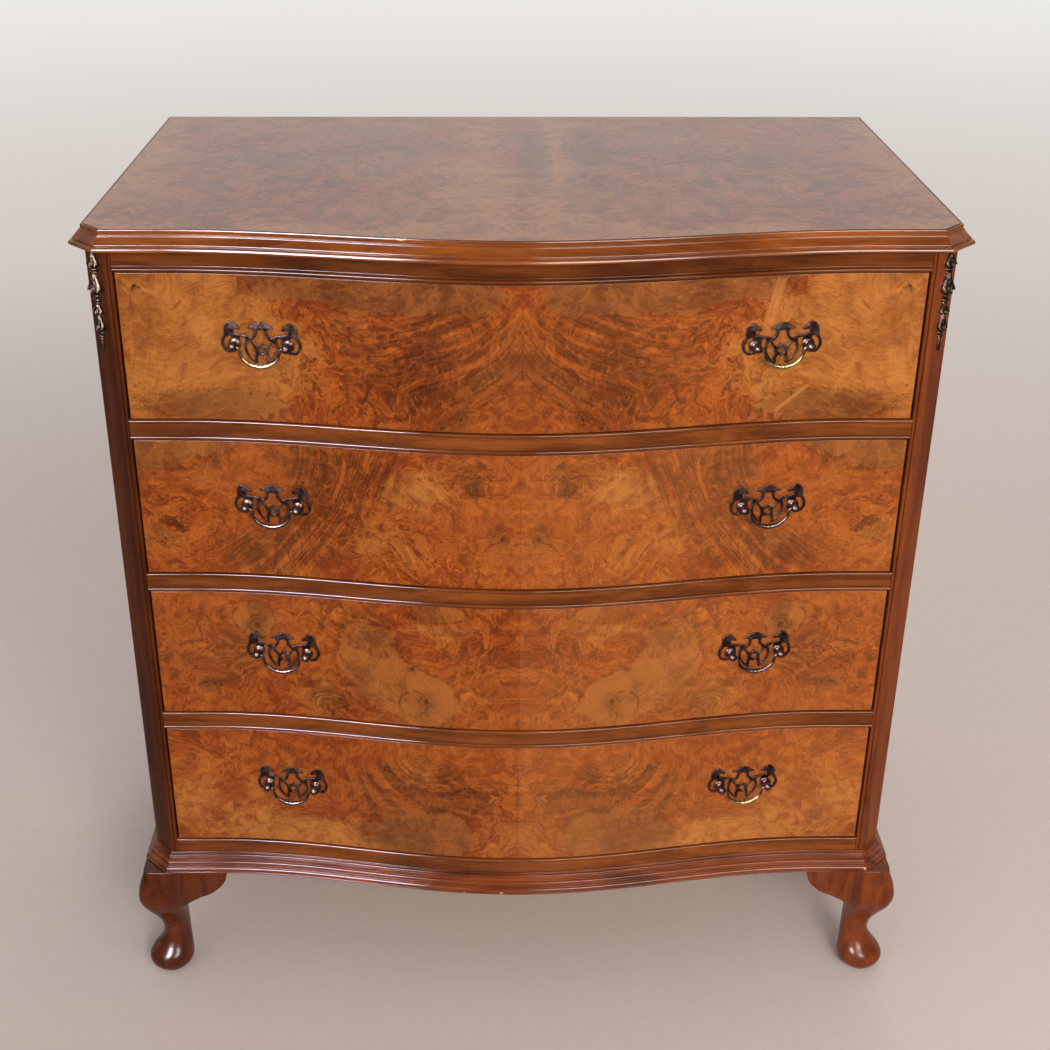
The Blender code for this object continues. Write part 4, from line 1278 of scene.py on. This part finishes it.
def build_drops():
    """Both drops, in millimetres down from the top of the ornament."""
    parts = [bud(0, 2.0, 2.0, 2.0, 1.2, 2.4)]
    parts += husk(1.5, 16.5, 7.8, 3.9, 5.6, 1.7)
    parts += [bud(0, 18.3, 5.4, 1.5, 0.6, 4.2), bud(0, 21.2, 6.4, 1.7, 0.6, 4.6)]
    parts += husk(23.0, 45.0, 9.2, 5.0, 6.8, 2.0)
    parts += [bud(0, 47.6, 4.4, 2.0, 0.6, 4.0), bud(0, 51.8, 6.0, 2.5, 0.8, 4.6),
              bud(0, 55.4, 3.9, 1.7, 0.5, 3.4)]
    parts += husk(56.5, 68.0, 6.7, 3.3, 5.2, 1.6)
    parts += husk(68.6, 86.5, 6.6, 3.6, 5.2, 1.6)
    parts += [bud(0, 88.6, 4.3, 1.8, 0.5, 3.2), bud(0, 92.4, 3.9, 1.9, 0.5, 3.2),
              bud(0, 95.6, 2.6, 1.5, 0.4, 2.4)]
    parts += [petal(0.0, 95.0, 0.0, 109.8, 2.3, 1.9, 2.4, 0.0)]
    drop = joined("drop_shape", parts)
    drop.data.transform(Matrix.Scale(MM, 4))
    fused(drop, 0.00038, 1)
    for side, s in SIDES:
        out = Vector((s, -1.0, 0.0)).normalized()
        place = Vector((s * CORNER_X, CORNER_Y, CASE_TOP - DROP_BELOW))
        obj = add_data("bellflower_drop_" + side, drop.data.copy())
        obj.matrix_world = axes_at(place + out * SEAT, UP.cross(out), UP, out)
        dress(obj, "drop", "case", "aged_brass", "corner_drop_" + side)
    discard(drop)


# --------------------------------------------------------------- drawers
# Each end of a front is eased: distance from the end, and step back.
FRONT_ENDS = ((0.0, 0.0007), (0.0003, 0.0002), (0.0008, 0.0))
TAILS, TAIL_START, TAIL_IN = 4, 0.006, 0.0065


def build_drawers():
    for number in NUMBERS:
        body = "drawer_%d" % number
        floor = opening_floor(number)
        low, high = floor + BOTTOM_GAP, floor + OPENING - TOP_GAP
        groove0 = floor + RUN_GAP + BOTTOM_LIFT - SEAT
        groove1 = groove0 + BOTTOM_PLY + 2.0 * SEAT
        thick, deep = FRONT_THICK, FRONT_THICK - GROOVE
        line = eased([(0.0, low, 0.0009), (0.0, high, 0.0009),
                      (thick, high, 0.0004), (thick, groove1, 0.0),
                      (deep, groove1, 0.0), (deep, groove0, 0.0),
                      (thick, groove0, 0.0), (thick, low, 0.0004)], closed=True)
        places = [(-FRONT_HALF + x, y) for x, y in FRONT_ENDS]
        places += [(x, 0.0) for x in KNOTS]
        places += [(FRONT_HALF - x, y) for x, y in reversed(FRONT_ENDS)]
        rings = [[(x, front_y(x) + max(step, back), z) for step, z in line]
                 for x, back in places]
        obj = skin("burr_front_%d" % number, rings, 40.0)
        dress(obj, number, body, "burr_walnut_veneer", body + "_front")
        second_look(obj, "core", lambda face: face.normal.y > -0.5)
        # Lapped dovetails of the sides, let into both ends of the front.
        tails = []
        pitch = (high - LINING_BELOW - low - TAIL_START) / TAILS
        wide, slim = 0.5 * (pitch - 0.007), 0.5 * (pitch - 0.015)
        tip, root = FRONT_Y + TAIL_IN, FRONT_Y + thick + 0.0002
        for s in (-1.0, 1.0):
            for k in range(TAILS):
                mid = low + TAIL_START + (k + 0.5) * pitch
                ring = [(tip, mid - wide), (tip, mid + wide),
                        (root, mid + slim), (root, mid - slim)]
                tails.append(skin("tail", [
                    [(s * x, y, z) for y, z in ring]
                    for x in (FRONT_HALF - 0.0002, FRONT_HALF + 0.00016)]))
        dress(joined("dovetails_%d" % number, tails, 30.0), "lining_y", body,
              "drawer_lining")


def finish_kept():
    """New finishes for the solids whose shape is already right."""
    looks = {"side_panel_left": "side", "side_panel_right": "side",
             "back_panel": "ply_z", "bottom_board": "ply_x"}
    for number in range(1, DRAWERS):
        looks["dust_board_%d" % number] = "ply_x"
    for number in NUMBERS:
        name = "drawer_%d_" % number
        looks[name + "side_left"] = looks[name + "side_right"] = "lining_y"
        looks[name + "back"] = "lining_x"
        looks[name + "bottom"] = "ply_x"
    for name, look in looks.items():
        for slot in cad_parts[name].material_slots:
            slot.material = LOOKS[look]


# ----------------------------------------------------------------- stage
FLOOR_RADIUS = 14.0
RAYS = ("Is Camera Ray", "Is Glossy Ray")


def build_floor():
    tree = Tree(bpy.data.materials.new("pale_floor"))
    camera, glossy = [tree.node("LightPath", ray) for ray in RAYS]
    cloud = tree.noise(tree.place(), 60.0, 3.0, 0.6)
    tone = tree.mix(cloud, lin(214, 199, 190), lin(222, 208, 200))
    plain = tree.principled(tone, 0.85, Specular_IOR_Level=0.1)
    # Far from the chest the floor keeps one pale tone up to the horizon.
    away = tree.vec("LENGTH", tree.place())
    far = tree.mix(away.step(2.0, 9.0), (0.64, 0.58, 0.54, 1.0),
                   (0.84, 0.82, 0.80, 1.0))
    far = far.over(glossy, (0.15, 0.13, 0.12, 1.0))
    glow = tree.node("Emission", 0, {"Color": far})
    seen = tree.math("MAXIMUM", camera, glossy)
    # Polished wood sees the darker floor right up to the chest.
    near = away.step(0.2, 0.9) * glossy
    share = tree.math("MAXIMUM", away.step(1.2, 3.4) * seen, near)
    blend = tree.node("MixShader", 0, {0: share, 1: plain, 2: glow})
    floor = add_points("floor", [(FLOOR_RADIUS * c, FLOOR_RADIUS * s, -0.0002)
                                 for c, s in around(64)], [tuple(range(64))])
    floor.data.materials.append(tree.end("OutputMaterial", blend))


def build_world():
    """Pale wall behind the chest, a dimmer room in front of it."""
    world = bpy.data.worlds.new("studio")
    bpy.context.scene.world = world
    tree = Tree(world)
    camera, glossy = [tree.node("LightPath", ray) for ray in RAYS]
    behind = tree.separate(tree.node("TexCoord", "Generated"))[1]
    wall = tree.mix(behind.step(0.0, 0.6), (0.07, 0.07, 0.08, 1.0),
                    (0.64, 0.62, 0.60, 1.0))
    diffuse, mirrored, seen = [
        tree.node("Background", 0, {"Color": colour})
        for colour in ((0.47, 0.47, 0.48, 1.0), wall, (0.84, 0.82, 0.80, 1.0))]
    blend = tree.node("MixShader", 0, {0: glossy, 1: diffuse, 2: mirrored})
    blend = tree.node("MixShader", 0, {0: camera, 1: blend, 2: seen})
    tree.end("OutputWorld", blend)


# Name, place, aim, width and height, watts, colour, rays that miss it.
LAMPS = [
    ("key", (1.0, -3.4, 2.1), (0.0, -0.1, 0.45), (1.5, 1.1), 76.0,
     (1.0, 0.97, 0.93), None),
    ("fill", (-1.9, -2.9, 1.6), (-0.1, -0.1, 0.4), (1.2, 1.0), 6.0,
     (1.0, 0.97, 0.94), None),
    ("side", (2.0, -2.2, 0.7), (0.2, -0.2, 0.25), (0.9, 0.7), 15.0,
     (1.0, 0.96, 0.90), "glossy"),
    ("window", (-1.62, -2.7, 2.4), (-0.1, -0.2, 0.5), (1.1, 1.3), 240.0,
     (0.90, 0.88, 1.0), "diffuse"),
    ("back", (0.6, 2.6, 2.4), (0.0, 0.1, 0.5), (1.8, 1.4), 24.0,
     (1.0, 0.97, 0.93), "glossy")]


def build_lamps():
    for name, where, target, size, power, colour, unseen in LAMPS:
        light = bpy.data.lights.new(name, "AREA")
        light.shape = "RECTANGLE"
        light.size, light.size_y = size
        light.energy = power
        light.color = colour
        obj = add_data(name, light)
        obj.location = where
        aim = Vector(target) - Vector(where)
        obj.rotation_euler = aim.to_track_quat("-Z", "Y").to_euler()
        if unseen:
            setattr(obj, "visible_" + unseen, False)


# The camera that was fitted to the photograph.
YAW, PITCH, ROLL = 0.0061, 0.46527, 0.00179
CAMERA_PLACE = (-0.03473, -1.75667, 1.43368)
SENSOR, LENS, SHIFT = 36.0, 52.59, (0.02625, -0.01774)


def build_camera():
    ahead = Vector((math.sin(YAW) * math.cos(PITCH),
                    math.cos(YAW) * math.cos(PITCH), -math.sin(PITCH)))
    right = Vector((math.cos(YAW), -math.sin(YAW), 0.0))
    up = right.cross(ahead)
    data = bpy.data.cameras.new("photo_camera")
    data.sensor_width = SENSOR
    data.sensor_fit = "HORIZONTAL"
    data.lens = LENS
    data.shift_x, data.shift_y = SHIFT
    camera = add_data("photo_camera", data)
    camera.matrix_world = axes_at(
        CAMERA_PLACE, math.cos(ROLL) * right + math.sin(ROLL) * up,
        -math.sin(ROLL) * right + math.cos(ROLL) * up, -ahead)
    bpy.context.scene.camera = camera
    bpy.context.scene.view_settings.view_transform = "Standard"


build_camera()
build_lamps()
build_top()
build_base()
build_case()
build_pins()
build_legs()
build_handles()
build_drops()
build_drawers()
finish_kept()
build_floor()
build_world()
